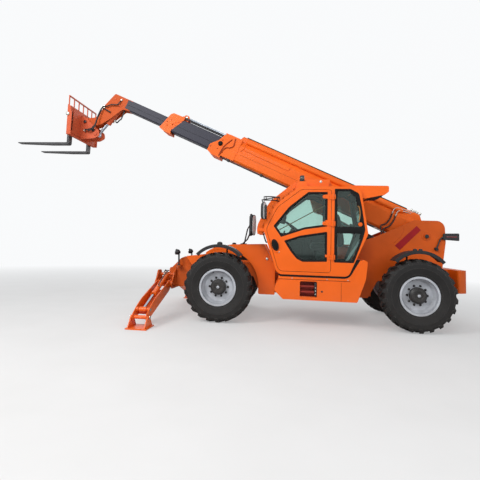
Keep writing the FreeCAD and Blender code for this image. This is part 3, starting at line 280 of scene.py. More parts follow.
def tinted_edges(tree, place, paint, colour, width, amount):
    """A second colour along sharp edges, broken up by noise: worn bare colour on the orange, boom and slate
    paints and the forks, painted shade on the head and the carriage, and painted highlight on the tyres.
    """
    wide = node(tree, "Bevel", samples=4, Radius=width).outputs["Normal"]
    true = node(tree, "NewGeometry").outputs["Normal"]
    meet = sum_of(tree, "DOT_PRODUCT", wide, true, kind="VectorMath")
    edge = ranged(tree, meet, From_Min=0.99, From_Max=0.80, To_Max=amount)
    return cover(tree, sum_of(tree, "MULTIPLY", edge, noise(tree, place, 38.0, 6.0)), paint, colour)


def darker(colour, share):
    return tuple(channel * share for channel in colour)


def glass_finish(tint):
    """Tinted sheet glass that lets light through without bending it, with faint streaks."""
    made, tree, surface, place = new_finish("tinted_glass")
    tree.nodes.remove(surface)
    clear = node(tree, "BsdfTransparent", Color=(*tint, 1))
    streaks = ranged(tree, noise(tree, place, 3.0, 5.0), To_Min=0.02, To_Max=0.09)
    gloss = node(tree, "BsdfGlossy", Color=(0.9, 1.0, 0.97, 1), Roughness=streaks)
    edge = node(tree, "Fresnel", IOR=1.5)
    mix_surfaces(tree, edge.outputs["Fac"], clear.outputs["BSDF"], gloss.outputs["BSDF"], "Material Output")
    return made


def wavy(tree, place, surface, scale, strength, depth):
    """Fine ribs across a surface."""
    wave = node(tree, "TexWave", Vector=place, Scale=scale)
    set_inputs(tree, surface, Normal=bumped(tree, wave.outputs["Fac"], strength, depth).outputs["Normal"])


def lens_finish(name, colour):
    """Clear ribbed plastic over a lamp."""
    made, tree, surface, place = new_finish(name)
    set_inputs(tree, surface, Base_Color=(*colour, 1), Roughness=0.12, Coat_Weight=0.6)
    wavy(tree, place, surface, 60.0, 0.3, 0.002)
    return made


def cloth_finish():
    """Black woven seat cover."""
    made = finish("seat_cloth", (0.030, 0.030, 0.033), (0.018, 0.018, 0.020), 0.85, grain=20.0)
    tree = made.node_tree
    surface = tree.nodes["Principled BSDF"]
    set_inputs(tree, surface, Sheen_Weight=0.3)
    wavy(tree, node(tree, "TexCoord").outputs["Object"], surface, 180.0, 0.35, 0.001)
    return made


finishes = {}


def mix_finishes(look):
    """Every finish of the machine, by a short name."""
    earth = (0.30, 0.24, 0.18)
    orange, slate, silver = tuple(look.orange), tuple(look.slate), tuple(look.silver)
    black, rubber, steel = tuple(look.black), tuple(look.rubber), tuple(look.steel)
    rust = (0.30, 0.06, 0.02)
    finishes.update(
        orange=finish("orange_paint", orange, darker(orange, 0.90), 0.36, coat=0.12, grain=1.6, grit=0.012,
                      gleam=0.25, dust=(earth, 0.9, 0.13), edge_wear_and_light=(rust, 0.006, 0.5)),
        boom=finish("boom_paint", (0.84, 0.145, 0.014), (0.76, 0.122, 0.010), 0.46, coat=0.03, grain=1.2,
                    grit=0.008, rounding=0.003, gleam=0.15, edge_wear_and_light=(rust, 0.003, 0.5)),
        # head: the boom's orange darkened and dulled as painted shade of the boom head, with dark red painted
        # shade along its edges
        head=finish("head_painted_shade", (0.56, 0.092, 0.016), (0.47, 0.074, 0.013), 0.50, grain=2.0, grit=0.006,
                    rounding=0.003, gleam=0.12, edge_wear_and_light=((0.24, 0.05, 0.03), 0.003, 0.6)),
        # carriage: the orange darkened and dulled as painted shade of the carriage, the tilt cylinder's
        # barrel and the head's pin caps, with dark red painted shade along the edges
        carriage=finish("carriage_paint", (0.66, 0.126, 0.052), (0.52, 0.094, 0.038), 0.50, grain=2.4,
                        grit=0.008, rounding=0.003, gleam=0.15, edge_wear_and_light=((0.20, 0.05, 0.03), 0.003, 0.7)),
        # frame: the orange paint darkened to 0.78 and 0.60 as painted shade of the frame's plates, welds and
        # bolts, with dust near the ground
        frame=finish("frame_painted_shade", darker(orange, 0.78), darker(orange, 0.60), 0.45, grain=1.8, grit=0.04,
                     gleam=0.25, dust=(earth, 1.0, 0.18)),
        slate=finish("slate_paint", slate, darker(slate, 0.8), 0.46, grain=2.2, rounding=0.003, gleam=0.2,
                     edge_wear_and_light=((0.30, 0.30, 0.32), 0.003, 0.5)),
        # piping: dark red for the collar's lines, painted shadow along the edges of its plates
        piping=finish("collar_shadow_paint", (0.34, 0.050, 0.010), (0.26, 0.036, 0.008), 0.45, grain=20.0, grit=0.05,
                      gleam=0.2, rounding=0.002),
        signal=finish("signal_red", (0.33, 0.009, 0.013), (0.27, 0.007, 0.010), 0.35, grain=5.0, grit=0.03,
                      gleam=0.2),
        silver=finish("silver_paint", silver, darker(silver, 0.74), metallic=0.25, grain=5.0, grit=0.03,
                      dust=(earth, 0.7, 0.30)),
        black=finish("black_plastic", black, darker(black, 0.7), 0.50, grain=8.0, grit=0.10),
        fender=finish("mudguard_plastic", (0.020, 0.019, 0.021), (0.014, 0.0135, 0.015), 0.52, grain=10.0,
                      grit=0.10, gleam=0.2, dust=(earth, 1.8, 0.05)),
        hub=finish("hub_enamel", (0.022, 0.022, 0.024), (0.015, 0.015, 0.016), 0.42, grain=9.0, grit=0.08,
                   dust=(earth, 1.3, 0.14)),
        casting=finish("axle_casting", (0.06, 0.058, 0.056), (0.035, 0.034, 0.034), 0.62, grain=7.0,
                       grit=0.35, dust=(earth, 1.2, 0.35)),
        # rubber: lighter grey along the lug edges, painted highlight with some scuffing, and dust near the
        # ground
        rubber=finish("tyre_rubber", rubber, darker(rubber, 0.62), 0.62, grain=5.0, grit=0.30, rounding=0.010,
                      gleam=0.25, dust=((0.12, 0.10, 0.085), 1.6, 0.12),
                      edge_wear_and_light=((0.17, 0.16, 0.15), 0.008, 0.7)),
        seal=finish("rubber_seal", (0.008, 0.008, 0.008), (0.005, 0.005, 0.005), 0.65, grain=14.0, grit=0.10,
                    gleam=0.15),
        hose=finish("hose_rubber", (0.016, 0.016, 0.017), (0.010, 0.010, 0.010), 0.45, grain=30.0, grit=0.20,
                    rounding=0.002),
        # chrome: tinted blue-grey as painted reflection of a blue sky
        chrome=finish("chrome_painted_sky_tint", (0.52, 0.57, 0.64), (0.42, 0.47, 0.54), 0.16, metallic=1.0, grain=12.0,
                      spread=0.06),
        zinc=finish("zinc_plate", (0.52, 0.51, 0.47), (0.38, 0.37, 0.33), 0.36, metallic=1.0, grain=30.0,
                    grit=0.06, rounding=0.001),
        fork=finish("fork_steel", steel, darker(steel, 0.55), 0.48, metallic=0.5, grain=5.0, grit=0.25,
                    edge_wear_and_light=((0.42, 0.41, 0.40), 0.008, 1.2)),
        oxide=finish("oxide_red", tuple(look.oxide), darker(look.oxide, 0.7), 0.55, grit=0.06),
        ochre=finish("ochre_cord", (0.36, 0.17, 0.045), (0.28, 0.12, 0.030), 0.6, grain=30.0, grit=0.10,
                     rounding=0.002),
        lining=finish("roof_lining", (0.10, 0.085, 0.075), (0.07, 0.060, 0.052), 0.85, grain=18.0, grit=0.25),
        trim=finish("cab_trim", (0.030, 0.031, 0.033), (0.020, 0.021, 0.022), 0.62, grain=12.0, grit=0.25),
        engine=finish("engine_casting", (0.075, 0.078, 0.082), (0.045, 0.046, 0.048), 0.55, grain=8.0,
                      grit=0.30),
        # mirror: a near-white, hardly metallic colour, a painted reflection of bright surroundings
        mirror=finish("mirror_painted_white", (0.86, 0.87, 0.88), (0.80, 0.81, 0.82), 0.12, metallic=0.1, grain=2.0,
                      grit=0.0, spread=0.03, rounding=0.001),
        glass=glass_finish(look.tint),
        lens=lens_finish("lamp_lens", (0.80, 0.82, 0.84)),
        amber=lens_finish("beacon_smoked", (0.020, 0.012, 0.006)),
        red=lens_finish("tail_red", (0.20, 0.004, 0.004)),
        cloth=cloth_finish(),
    )


def dress(name, *keys, choose=None):
    """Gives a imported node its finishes. Of several, each face's is chosen by its middle and direction."""
    mesh = nodes[name].data
    mesh.materials.clear()
    for key in keys:
        mesh.materials.append(finishes[key])
    if choose:
        for face in mesh.polygons:
            face.material_index = int(choose(face.center, face.normal))


# Pieces

def mesh_from(name, fill, values=()):
    """A smooth mesh made by a function that fills an empty bmesh and may take further values."""
    grid = bmesh.new()
    fill(grid, *values)
    bmesh.ops.recalc_face_normals(grid, faces=grid.faces)
    mesh = bpy.data.meshes.new(name)
    grid.to_mesh(mesh)
    grid.free()
    for face in mesh.polygons:
        face.use_smooth = True
    return mesh


def piece(name, mesh, key):
    """A mesh as a named piece with its finish."""
    mesh.materials.append(finishes[key])
    made = bpy.data.objects.new(name, mesh)
    bpy.context.scene.collection.objects.link(made)
    return made


def build(name, fill, key, body, values=()):
    """A piece that rides on a body, with its folds kept sharp."""
    mesh = mesh_from(name, fill, values)
    mesh.set_sharp_from_angle(angle=math.radians(38))
    made = piece(name, mesh, key)
    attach(made, body)
    return made


def build_between(name, fill):
    """A hose between two jointed bodies, baked in place and attached to neither."""
    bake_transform(piece(name, mesh_from(name, fill), "hose"))


# Shapes

def frame_at(direction):
    """Two directions square to a given one and to each other."""
    side = direction.cross(upwards)
    if side.length < 1e-3:
        side = direction.cross(leftwards)
    side.normalize()
    return side, direction.cross(side).normalized()


def smooth_path(points, steps=6):
    """A smooth line through a few points."""
    ends = [points[0] * 2 - points[1], *points, points[-1] * 2 - points[-2]]
    path = []
    for i in range(1, len(ends) - 2):
        a, b, c, d = ends[i - 1:i + 3]
        for k in range(steps):
            t = k / steps
            path.append(0.5 * (2 * b + (c - a) * t + (2 * a - 5 * b + 4 * c - d) * t * t
                               + (3 * b - a - 3 * c + d) * t ** 3))
    path.append(points[-1])
    return path


def ring_of(grid, points):
    return [grid.verts.new(point) for point in points]


def add_skin(grid, rings, endless=False):
    """Faces from ring to ring, with a lid on the first and the last unless they meet."""
    count = len(rings[0])
    for near, far in zip(rings, rings[1:] + rings[:1] if endless else rings[1:]):
        for k in range(count):
            j = (k + 1) % count
            grid.faces.new((near[k], near[j], far[j], far[k]))
    if not endless:
        grid.faces.new(rings[0][::-1])
        grid.faces.new(rings[-1])


def add_tube(grid, path, radius, segments=10):
    """A round tube along a path, closed at both ends. A list of radii follows the path."""
    radii = radius if isinstance(radius, (list, tuple)) else [radius] * len(path)
    rings = []
    side = None
    for i, point in enumerate(path):
        ahead = path[min(i + 1, len(path) - 1)] - path[max(i - 1, 0)]
        ahead.normalize()
        if side is None:
            side, up = frame_at(ahead)
        else:
            side = (side - ahead * side.dot(ahead)).normalized()
            up = ahead.cross(side).normalized()
        rings.append(ring_of(grid, circle(point, side, up, radii[i], segments)))
    add_skin(grid, rings)


def add_hose(grid, points, radius, segments=10, steps=6):
    """A tube that runs smoothly through a few points."""
    add_tube(grid, smooth_path(points, steps), radius, segments)


def add_block(grid, low, high, bevel, turn=None):
    """A box between two corners, with its edges softened."""
    low, high = Vector(low), Vector(high)
    matrix = Matrix.LocRotScale((low + high) / 2, turn, high - low)
    made = bmesh.ops.create_cube(grid, size=1.0, matrix=matrix)
    edges = list({edge for vert in made["verts"] for edge in vert.link_edges})
    bmesh.ops.bevel(grid, geom=edges, offset=bevel, segments=2, affect="EDGES", profile=0.5)


def add_slab(grid, along, across, square, bevel=0.003):
    """A softened block along and square to the boom. Each pair of values is its near and far side."""
    turn = Matrix((boom_axis, leftwards, boom_up)).transposed().to_quaternion()
    middle = on_boom(sum(along) / 2, sum(across) / 2, sum(square) / 2)
    half = Vector((along[1] - along[0], across[1] - across[0], square[1] - square[0])) / 2
    add_block(grid, middle - half, middle + half, bevel, turn)


def add_turned(grid, profile, centre, axis, segments=24):
    """An outline of (along, radius) points spun about an axis."""
    axis = axis.normalized()
    side, up = frame_at(axis)
    add_skin(grid, [ring_of(grid, circle(centre + axis * along, side, up, radius, segments))
                    for along, radius in profile])


def add_bolt(grid, foot, axis, radius, height=None):
    """A hexagon head on a washer."""
    height = height or radius * 0.75
    washer, thick = radius * 1.35, height * 0.2
    add_turned(grid, [(0, washer), (thick, washer), (thick, radius)], foot, axis, 16)
    add_turned(grid, [(thick, radius), (height * 0.9, radius), (height, radius * 0.86)], foot, axis, 6)


def add_fitting(grid, foot, axis, radius, length):
    """A hydraulic union: hexagon, ferrule and nut along an axis."""
    hexagon, ferrule, start = radius * 1.5, radius * 1.15, length * 0.35
    add_turned(grid, [(0, hexagon), (start, hexagon)], foot, axis, 6)
    add_turned(grid, [(start, ferrule), (length * 0.9, ferrule), (length, radius * 0.9)], foot, axis, 12)


def add_sheet(grid, outline, thickness):
    """A flat closed outline of points with thickness given as a vector."""
    add_skin(grid, [ring_of(grid, outline), ring_of(grid, [point + thickness for point in outline])])


def add_plate(grid, y, places, thickness):
    """An upright sheet that looks sideways, from one width outward."""
    add_sheet(grid, side_line(y, places), leftwards * thickness)


def add_band(grid, loop, normals, profile):
    """A moulding along a closed loop, from (inward, raised) offsets and the surface's directions."""
    rings = []
    for i, (point, normal) in enumerate(zip(loop, normals)):
        before = (point - loop[i - 1]).normalized()
        after = (loop[(i + 1) % len(loop)] - point).normalized()
        inward = (normal.cross(before) + normal.cross(after)).normalized()
        stretch = 1 / max(0.5, inward.dot(normal.cross(after)))
        rings.append(ring_of(grid, [point + inward * (across * stretch) + normal * raised
                                    for across, raised in profile]))
    add_skin(grid, rings, endless=True)


trees = {}


def touch(names, start, direction):
    """Where a straight line first meets one of the named nodes, and the surface's direction there."""
    found = []
    for name in names.split():
        if name not in trees:
            mesh = nodes[name].data
            trees[name] = BVHTree.FromPolygons([vert.co for vert in mesh.vertices],
                                               [face.vertices for face in mesh.polygons])
        place, normal, _, distance = trees[name].ray_cast(start, direction.normalized())
        if place is not None:
            found.append((distance, place, normal))
    if not found:
        raise RuntimeError(f"nothing of {names} lies there to seat a part on")
    return min(found, key=lambda hit: hit[0])[1:]


def seat_turned(grid, names, start, out, profile, segments=24):
    """A turned part on the surface that a line from outside meets first."""
    add_turned(grid, profile, touch(names, start, -out)[0], out, segments)


def seat_bolt(grid, name, start, out, radius):
    add_bolt(grid, touch(name, start, -out)[0] - out * 0.001, out, radius)


def outline_of(name, outward):
    """The closed edge loops of the faces of a node that look outward, each with its surface directions."""
    grid = bmesh.new()
    grid.from_mesh(nodes[name].data)
    bmesh.ops.remove_doubles(grid, verts=grid.verts, dist=1e-5)
    chosen = {face for face in grid.faces if outward(face.calc_center_median(), face.normal)}
    following = {}
    for face in chosen:
        for corner in face.loops:
            others = [other for other in corner.edge.link_faces if other in chosen]
            if len(others) == 1:
                following[corner.vert] = (corner.link_loop_next.vert, face.normal.copy())
    loops = []
    while following:
        vert, points, normals = next(iter(following)), [], []
        while vert in following:
            ahead, normal = following.pop(vert)
            points.append(vert.co.copy())
            normals.append(normal)
            vert = ahead
        loops.append((points, normals))
    grid.free()
    return [pair for pair in loops if len(pair[0]) > 2]


# Stage

class SCENE_OT_telehandler_stage(bpy.types.Operator):
    """Places the floor, the soft light and the camera"""

    bl_idname = "telehandler.stage"
    bl_label = "Stage"

    white = (0.95, 0.96, 0.97, 1)
    lamps = (
        ("key", (8.6, 8.2, 7.6), (2.4, 0.0, 1.3), 3.6, 215),
        ("front", (3.0, 9.5, 6.6), (2.8, 0.5, 1.0), 3.2, 88),
        ("side", (-6.0, 7.0, 5.0), (1.5, 0.0, 1.2), 5.0, 60),
        ("back", (5.0, -9.0, 7.0), (2.0, 0.0, 1.5), 6.0, 90),
    )

    def execute(self, context):
        settings = context.scene.telehandler_stage
        context.scene.view_settings.view_transform = "Standard"
        self.floor()
        self.world(context, settings.fill)
        for name, place, aim, size, share in self.lamps:
            self.lamp(context, name, at(*place), at(*aim), size, settings.sun * share)
        self.camera(context, settings)
        return {"FINISHED"}

    def floor(self):
        """A pale concrete floor, wide enough for every view, that fades to white far from the machine."""
        made, tree, surface, place = new_finish("pale_floor")
        cloud = noise(tree, place, 1.3, 8.0)
        tone = toned(tree, cloud, (0.0, (0.60, 0.59, 0.575)), (1.0, (0.68, 0.67, 0.66)))
        set_inputs(tree, surface, Base_Color=tone, Roughness=0.9)
        far = sum_of(tree, "LENGTH", place, kind="VectorMath")
        fade = ranged(tree, far, From_Min=5.0, From_Max=15.0, To_Min=0.30)
        seen = sum_of(tree, "MULTIPLY", fade, node(tree, "LightPath").outputs["Is Camera Ray"])
        pale = node(tree, "Emission", Color=self.white)
        mix_surfaces(tree, seen, surface.outputs["BSDF"], pale.outputs["Emission"], "Material Output")
        bpy.ops.mesh.primitive_plane_add(size=120, location=at(3.5, 0, 0))
        floor = bpy.context.object
        floor.name = "floor"
        floor.data.materials.append(made)

    def world(self, context, strength):
        """Even white light from all sides; the camera, mirrors and glass see it at full white."""
        world = bpy.data.worlds.new("studio")
        context.scene.world = world
        world.use_nodes = True
        tree = world.node_tree
        light = tree.nodes["Background"]
        set_inputs(tree, light, Color=(0.93, 0.96, 1.0, 1), Strength=strength)
        pale = node(tree, "Background", Color=self.white)
        rays = node(tree, "LightPath").outputs
        seen = sum_of(tree, "MAXIMUM", rays["Is Camera Ray"], rays["Is Transmission Ray"])
        seen = sum_of(tree, "MAXIMUM", seen, rays["Is Glossy Ray"])
        mix_surfaces(tree, seen, light.outputs["Background"], pale.outputs["Background"], "World Output")

    def lamp(self, context, name, place, aim, size, power):
        """A large square soft light aimed at the machine."""
        data = bpy.data.lights.new(name, "AREA")
        data.size = size
        data.energy = power
        made = bpy.data.objects.new(name, data)
        made.location = place
        made.rotation_mode = "QUATERNION"
        made.rotation_quaternion = (aim - place).to_track_quat("-Z", "Y")
        context.scene.collection.objects.link(made)

    def camera(self, context, settings):
        """The photograph's viewpoint."""
        yaw, pitch, roll = settings.yaw, settings.pitch, settings.roll
        ahead = Vector((-math.sin(yaw) * math.cos(pitch), -math.cos(yaw) * math.cos(pitch), math.sin(pitch)))
        right = ahead.cross(upwards).normalized()
        up = right.cross(ahead)
        turn = Matrix((spoke(right, up, roll), spoke(up, -right, roll), -ahead)).transposed()
        data = bpy.data.cameras.new("camera")
        data.sensor_width = 36
        data.lens = settings.lens
        data.shift_x, data.shift_y = 0.001, -0.05625
        camera = bpy.data.objects.new("camera", data)
        camera.matrix_world = Matrix.Translation(at(*settings.eye)) @ turn.to_4x4()
        context.scene.collection.objects.link(camera)
        context.scene.camera = camera


class PAINT_OT_telehandler_finish(bpy.types.Operator):
    """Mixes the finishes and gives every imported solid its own"""

    bl_idname = "telehandler.paint"
    bl_label = "Paint"

    plain = {
        # frame_sides and frame_members take the frame finish: orange in painted shade
        "frame_sides": "frame", "frame_members": "frame", "front_body": "orange", "axles": "casting",
        "engine_pod": "orange", "engine_hood": "orange", "engine_block": "engine", "roof_guard": "orange",
        "cab_glass": "glass", "cab_seat": "cloth", "cab_controls": "trim", "door_glass": "glass",
        "lamps_and_mirrors": "black", "boom_outer": "boom", "lift_barrel": "black", "lift_rod": "chrome",
        # tilt_barrel and carriage take the carriage finish: orange in painted shade
        "tilt_barrel": "carriage", "tilt_rod": "chrome", "carriage": "carriage", "forks": "fork",
    }
    rod_eye_top = 0.345
    hub_radius = 0.152
    collar_start, head_start, visor_start = 5.28, 6.60, 2.5
    step_low, step_high = at(1.70, 0, 0.51), at(2.01, 1.17, 0.81)

    def execute(self, context):
        mix_finishes(context.scene.telehandler_paint)
        for name, key in self.plain.items():
            dress(name, key)
        for side in sides:
            for part in ("leg", "pad", "barrel"):
                dress(f"stabiliser_{part}_{side}", "orange")
            dress(f"stabiliser_rod_{side}", "chrome", "orange",
                  choose=lambda place, out: place.z < self.rod_eye_top)
            for end in ("front", "rear"):
                self.wheel(end, side)
        self.boom()
        self.cab()
        dress("side_tank", "orange", "oxide", choose=self.in_step)
        return {"FINISHED"}

    def wheel(self, end, side):
        """Rubber, a silver rim with a black hub, a cast knuckle and a plastic mudguard."""
        centre = at(wheel_base if end == "front" else 0, 0, wheel_z)

        def in_hub(place, out):
            return Vector((place.x - centre.x, place.z - centre.z)).length < self.hub_radius

        def in_mudguard(place, out):
            return place.z - centre.z > 0.5 or abs(place.x - centre.x) > 0.35

        dress(f"tyre_{end}_{side}", "rubber")
        dress(f"rim_{end}_{side}", "silver", "hub", choose=in_hub)
        dress(f"knuckle_{end}_{side}", "casting", "fender", choose=in_mudguard)

    def boom(self):
        """Slate tubes with orange collars and a head in painted shade, and on the middle one a bright rod and
        dark pipes.
        """
        def on_middle(place, out):
            if (place - boom_pivot).dot(boom_axis) > self.collar_start:
                return 1
            if (place - boom_pivot).dot(boom_up) < 0.2:
                return 0
            return 2 if abs(place.y) < 0.06 else 3

        dress("boom_mid", "slate", "boom", "chrome", "fork", choose=on_middle)
        # The head end of the inner section takes the head finish: orange in painted shade
        dress("boom_inner", "slate", "head",
              choose=lambda place, out: (place - boom_pivot).dot(boom_axis) > self.head_start)

    def cab(self):
        """Orange outside, dark trim inside, and black under the visor as painted shade."""
        low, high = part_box("cab_shell")
        middle = (low + high) / 2
        reach = (high - low) / 2 - Vector((0.035, 0.035, 0.06))

        def inside(place, out):
            off = place - middle
            return abs(off.x) < reach.x and abs(off.y) < reach.y and off.z < reach.z and out.dot(off) < 0

        dress("cab_shell", "orange", "trim", choose=inside)
        dress("cab_door", "orange", "trim", choose=lambda place, out: out.y < -0.5)
        # The visor's underside is painted black as painted shade
        dress("cab_roof", "orange", "black",
              choose=lambda place, out: out.z < -0.7 and place.x > axle_x + self.visor_start)

    def in_step(self, place, out):
        """Whether a face of the tank lies in the step's recess."""
        low, high = self.step_low, self.step_high
        return low.x < place.x < high.x and place.y < high.y and low.z < place.z < high.z


def wheel_places():
    """Name and middle of each wheel, with the direction that looks outward."""
    for end, x in (("front", wheel_base), ("rear", 0.0)):
        for side, sign in sides.items():
            low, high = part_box(f"tyre_{end}_{side}")
            yield f"{end}_{side}", at(x, (low.y + high.y) / 2, wheel_z), leftwards * sign


class WHEEL_OT_telehandler_fittings(bpy.types.Operator):
    """Adds studs, hub covers, sidewall beads and valves to the four wheels"""

    bl_idname = "telehandler.wheels"
    bl_label = "Wheel fittings"

    stud_circle, stud_count = 0.168, 10
    screw_circle, screw_count = 0.089, 8
    bead_circles, bead, bead_steps = (0.352, 0.366, 0.470), 0.0035, 72
    cover_profile = ((-0.004, 0.112), (0.006, 0.112), (0.011, 0.106), (0.011, 0.072), (0.006, 0.066),
                     (-0.004, 0.066))
    plug_profile = ((0, 0.026), (0.006, 0.026), (0.009, 0.022), (0.009, 0.012), (0.018, 0.011),
                    (0.019, 0.009))
    bead_profile = ((-1, -1), (-0.7, 0.4), (0, 0.7), (0.7, 0.4), (1, -1))

    def execute(self, context):
        for name, centre, out in wheel_places():
            body, values = f"{name}_wheel", (name, centre, out)
            build(f"wheel_studs_{name}", self.studs, "hub", body, values)
            build(f"hub_cover_{name}", self.cover, "hub", body, values)
            build(f"hub_plug_{name}", self.plug, "silver", body, values)
            build(f"tyre_beads_{name}", self.beads, "rubber", body, values)
            build(f"wheel_valve_{name}", self.valve, "hub", body, values)
        return {"FINISHED"}

    def around(self, centre, radius, share):
        return centre + spoke(forwards, upwards, 2 * math.pi * share) * radius

    def seat(self, name, centre, out, radius, share):
        """Where a line beside the axle meets a node of the wheel."""
        return touch(name, self.around(centre, radius, share) + out * 0.4, -out)[0]

    def hub_end(self, name, centre, out, radius, share):
        """The point on the axle level with the hub's face."""
        return centre + out * (self.seat("rim_" + name, centre, out, radius, share) - centre).dot(out)

    def studs(self, grid, name, centre, out):
        for k in range(self.stud_count):
            foot = self.seat("rim_" + name, centre, out, self.stud_circle, k / self.stud_count) - out * 0.002
            add_bolt(grid, foot, out, 0.016, 0.016)
            add_turned(grid, [(0.014, 0.009), (0.030, 0.009), (0.032, 0.006)], foot, out, 10)

    def cover(self, grid, name, centre, out):
        """A stepped ring with small screws on the hub's end."""
        foot = self.hub_end(name, centre, out, 0.09, 0.3)
        add_turned(grid, self.cover_profile, foot, out, 40)
        for k in range(self.screw_count):
            screw = self.around(foot, self.screw_circle, (k + 0.5) / self.screw_count)
            add_bolt(grid, screw + out * 0.010, out, 0.0065)

    def plug(self, grid, name, centre, out):
        """A light filler plug in the hub's middle."""
        add_turned(grid, self.plug_profile, self.hub_end(name, centre, out, 0.01, 0.0) - out * 0.001, out, 20)

    def beads(self, grid, name, centre, out):
        """Fine raised rings on both sidewalls."""
        profile = [(across * self.bead, raised * self.bead) for across, raised in self.bead_profile]
        for face in (out, -out):
            for radius in self.bead_circles:
                spot = self.seat("tyre_" + name, centre, face, radius, 0.013)
                middle = centre + face * ((spot - centre).dot(face) - 0.001)
                loop = circle(middle, *frame_at(face), radius, self.bead_steps)
                add_band(grid, loop, [face] * self.bead_steps, profile)

    def valve(self, grid, name, centre, out):
        spot = self.seat("rim_" + name, centre, out, 0.272, 0.19)
        add_tube(grid, [spot, spot + out * 0.03, spot + out * 0.055], [0.008, 0.006, 0.005], 8)


class BOOM_OT_telehandler_trim(bpy.types.Operator):
    """Adds cover panels, dark fold lines of painted shade, cables, bolts and the rest knobs of the boom
    sections
    """

    bl_idname = "telehandler.boom"
    bl_label = "Boom trim"

    panel = ((3.880, 0.110), (3.905, 0.172), (2.870, 0.172), (2.885, 0.100))
    panel_end = ((3.94, 0.262), (3.90, 0.150), (3.955, 0.060))
    conduit = ((3.935, 0.028), (3.90, 0.046), (2.8, 0.046), (1.6, 0.046), (0.55, 0.046), (0.50, 0.028))
    collar_bolts = ((4.585, -0.084), (4.429, -0.079), (4.400, 0.129), (4.300, -0.120))
    middle_bolts = ((5.620, 0.080), (5.660, -0.060), (5.690, 0.010), (5.560, 0.000))
    knob_profile = ((-0.002, 0.050), (0.012, 0.050), (0.020, 0.042), (0.032, 0.038), (0.040, 0.030))
    seam = 0.0022

    def execute(self, context):
        build("boom_side_panels", self.panels, "boom", "boom")
        build("boom_fold_shade_and_cable", self.seams, "seal", "boom")
        build("boom_shoulder_tubes", self.shoulders, "boom", "boom")
        # The outer collar's bolts take the frame finish: orange in painted shade
        build("boom_collar_bolts", self.bolts, "frame", "boom",
              ("boom_outer", self.collar_bolts, 0.012))
        build("boom_rest_knobs", self.knobs, "seal", "boom")
        # The middle collar's bolts take the frame finish: orange in painted shade
        build("middle_collar_bolts", self.bolts, "frame", "boom_middle",
              ("boom_mid", self.middle_bolts, 0.011))
        # Dark lines along the folds of the middle and inner sections: painted shade
        build("middle_fold_shade_lines", self.strips, "seal", "boom_middle",
              (0.1452, ((5.52, 0.005), (3.0, 0.005))))
        build("inner_fold_shade_lines", self.strips, "seal", "boom_head",
              (0.1152, ((6.68, -0.008), (4.2, -0.008))))
        build("boom_pin_caps", self.pins, "zinc", "boom_middle")
        return {"FINISHED"}

    def panels(self, grid):
        """A long raised cover on each side, under the boom's shoulder, with a turned-down rear end."""
        for sign in sides.values():
            add_sheet(grid, boom_line(sign * 0.176, self.panel), leftwards * (sign * 0.018))
            add_tube(grid, boom_line(sign * 0.192, self.panel_end), 0.005, 6)

    def seams(self, grid):
        """A thin dark line along each side at the fold, painted shade, and the dark cable along the top edge.
        """
        self.strips(grid, 0.180, ((3.93, -0.006), (2.60, -0.006)))
        for sign in sides.values():
            add_tube(grid, boom_line(sign * 0.098, [(u, 0.399) for u in (3.96, 3.0, 1.8, 0.45)]), 0.011, 8)

    def strips(self, grid, y, ends):
        """A thin dark line along each side, painted shade along a fold."""
        for sign in sides.values():
            add_tube(grid, boom_line(sign * y, ends), self.seam, 6)

    def shoulders(self, grid):
        """A round conduit along each shoulder of the root section, closed at its front end."""
        for sign in sides.values():
            line = boom_line(sign * 0.140, [(u, 0.302) for u, radius in self.conduit])
            add_tube(grid, line, [radius for u, radius in self.conduit], 24)

    def bolts(self, grid, name, places, radius):
        for sign in sides.values():
            for u, v in places:
                seat_bolt(grid, name, on_boom(u, sign * 0.5, v), leftwards * sign, radius)

    def knobs(self, grid):
        """Round rubber-capped wear pad holders on the collar."""
        for sign in sides.values():
            start = on_boom(4.412, sign * 0.5, 0.043)
            seat_turned(grid, "boom_outer", start, leftwards * sign, self.knob_profile)

    def pins(self, grid):
        """End caps of the extension rod's cross pin."""
        for sign in sides.values():
            seat_turned(grid, "boom_mid", on_boom(5.355, sign * 0.462, 0.272), leftwards * sign,
                        [(-0.002, 0.026), (0.010, 0.026), (0.014, 0.020)], 20)


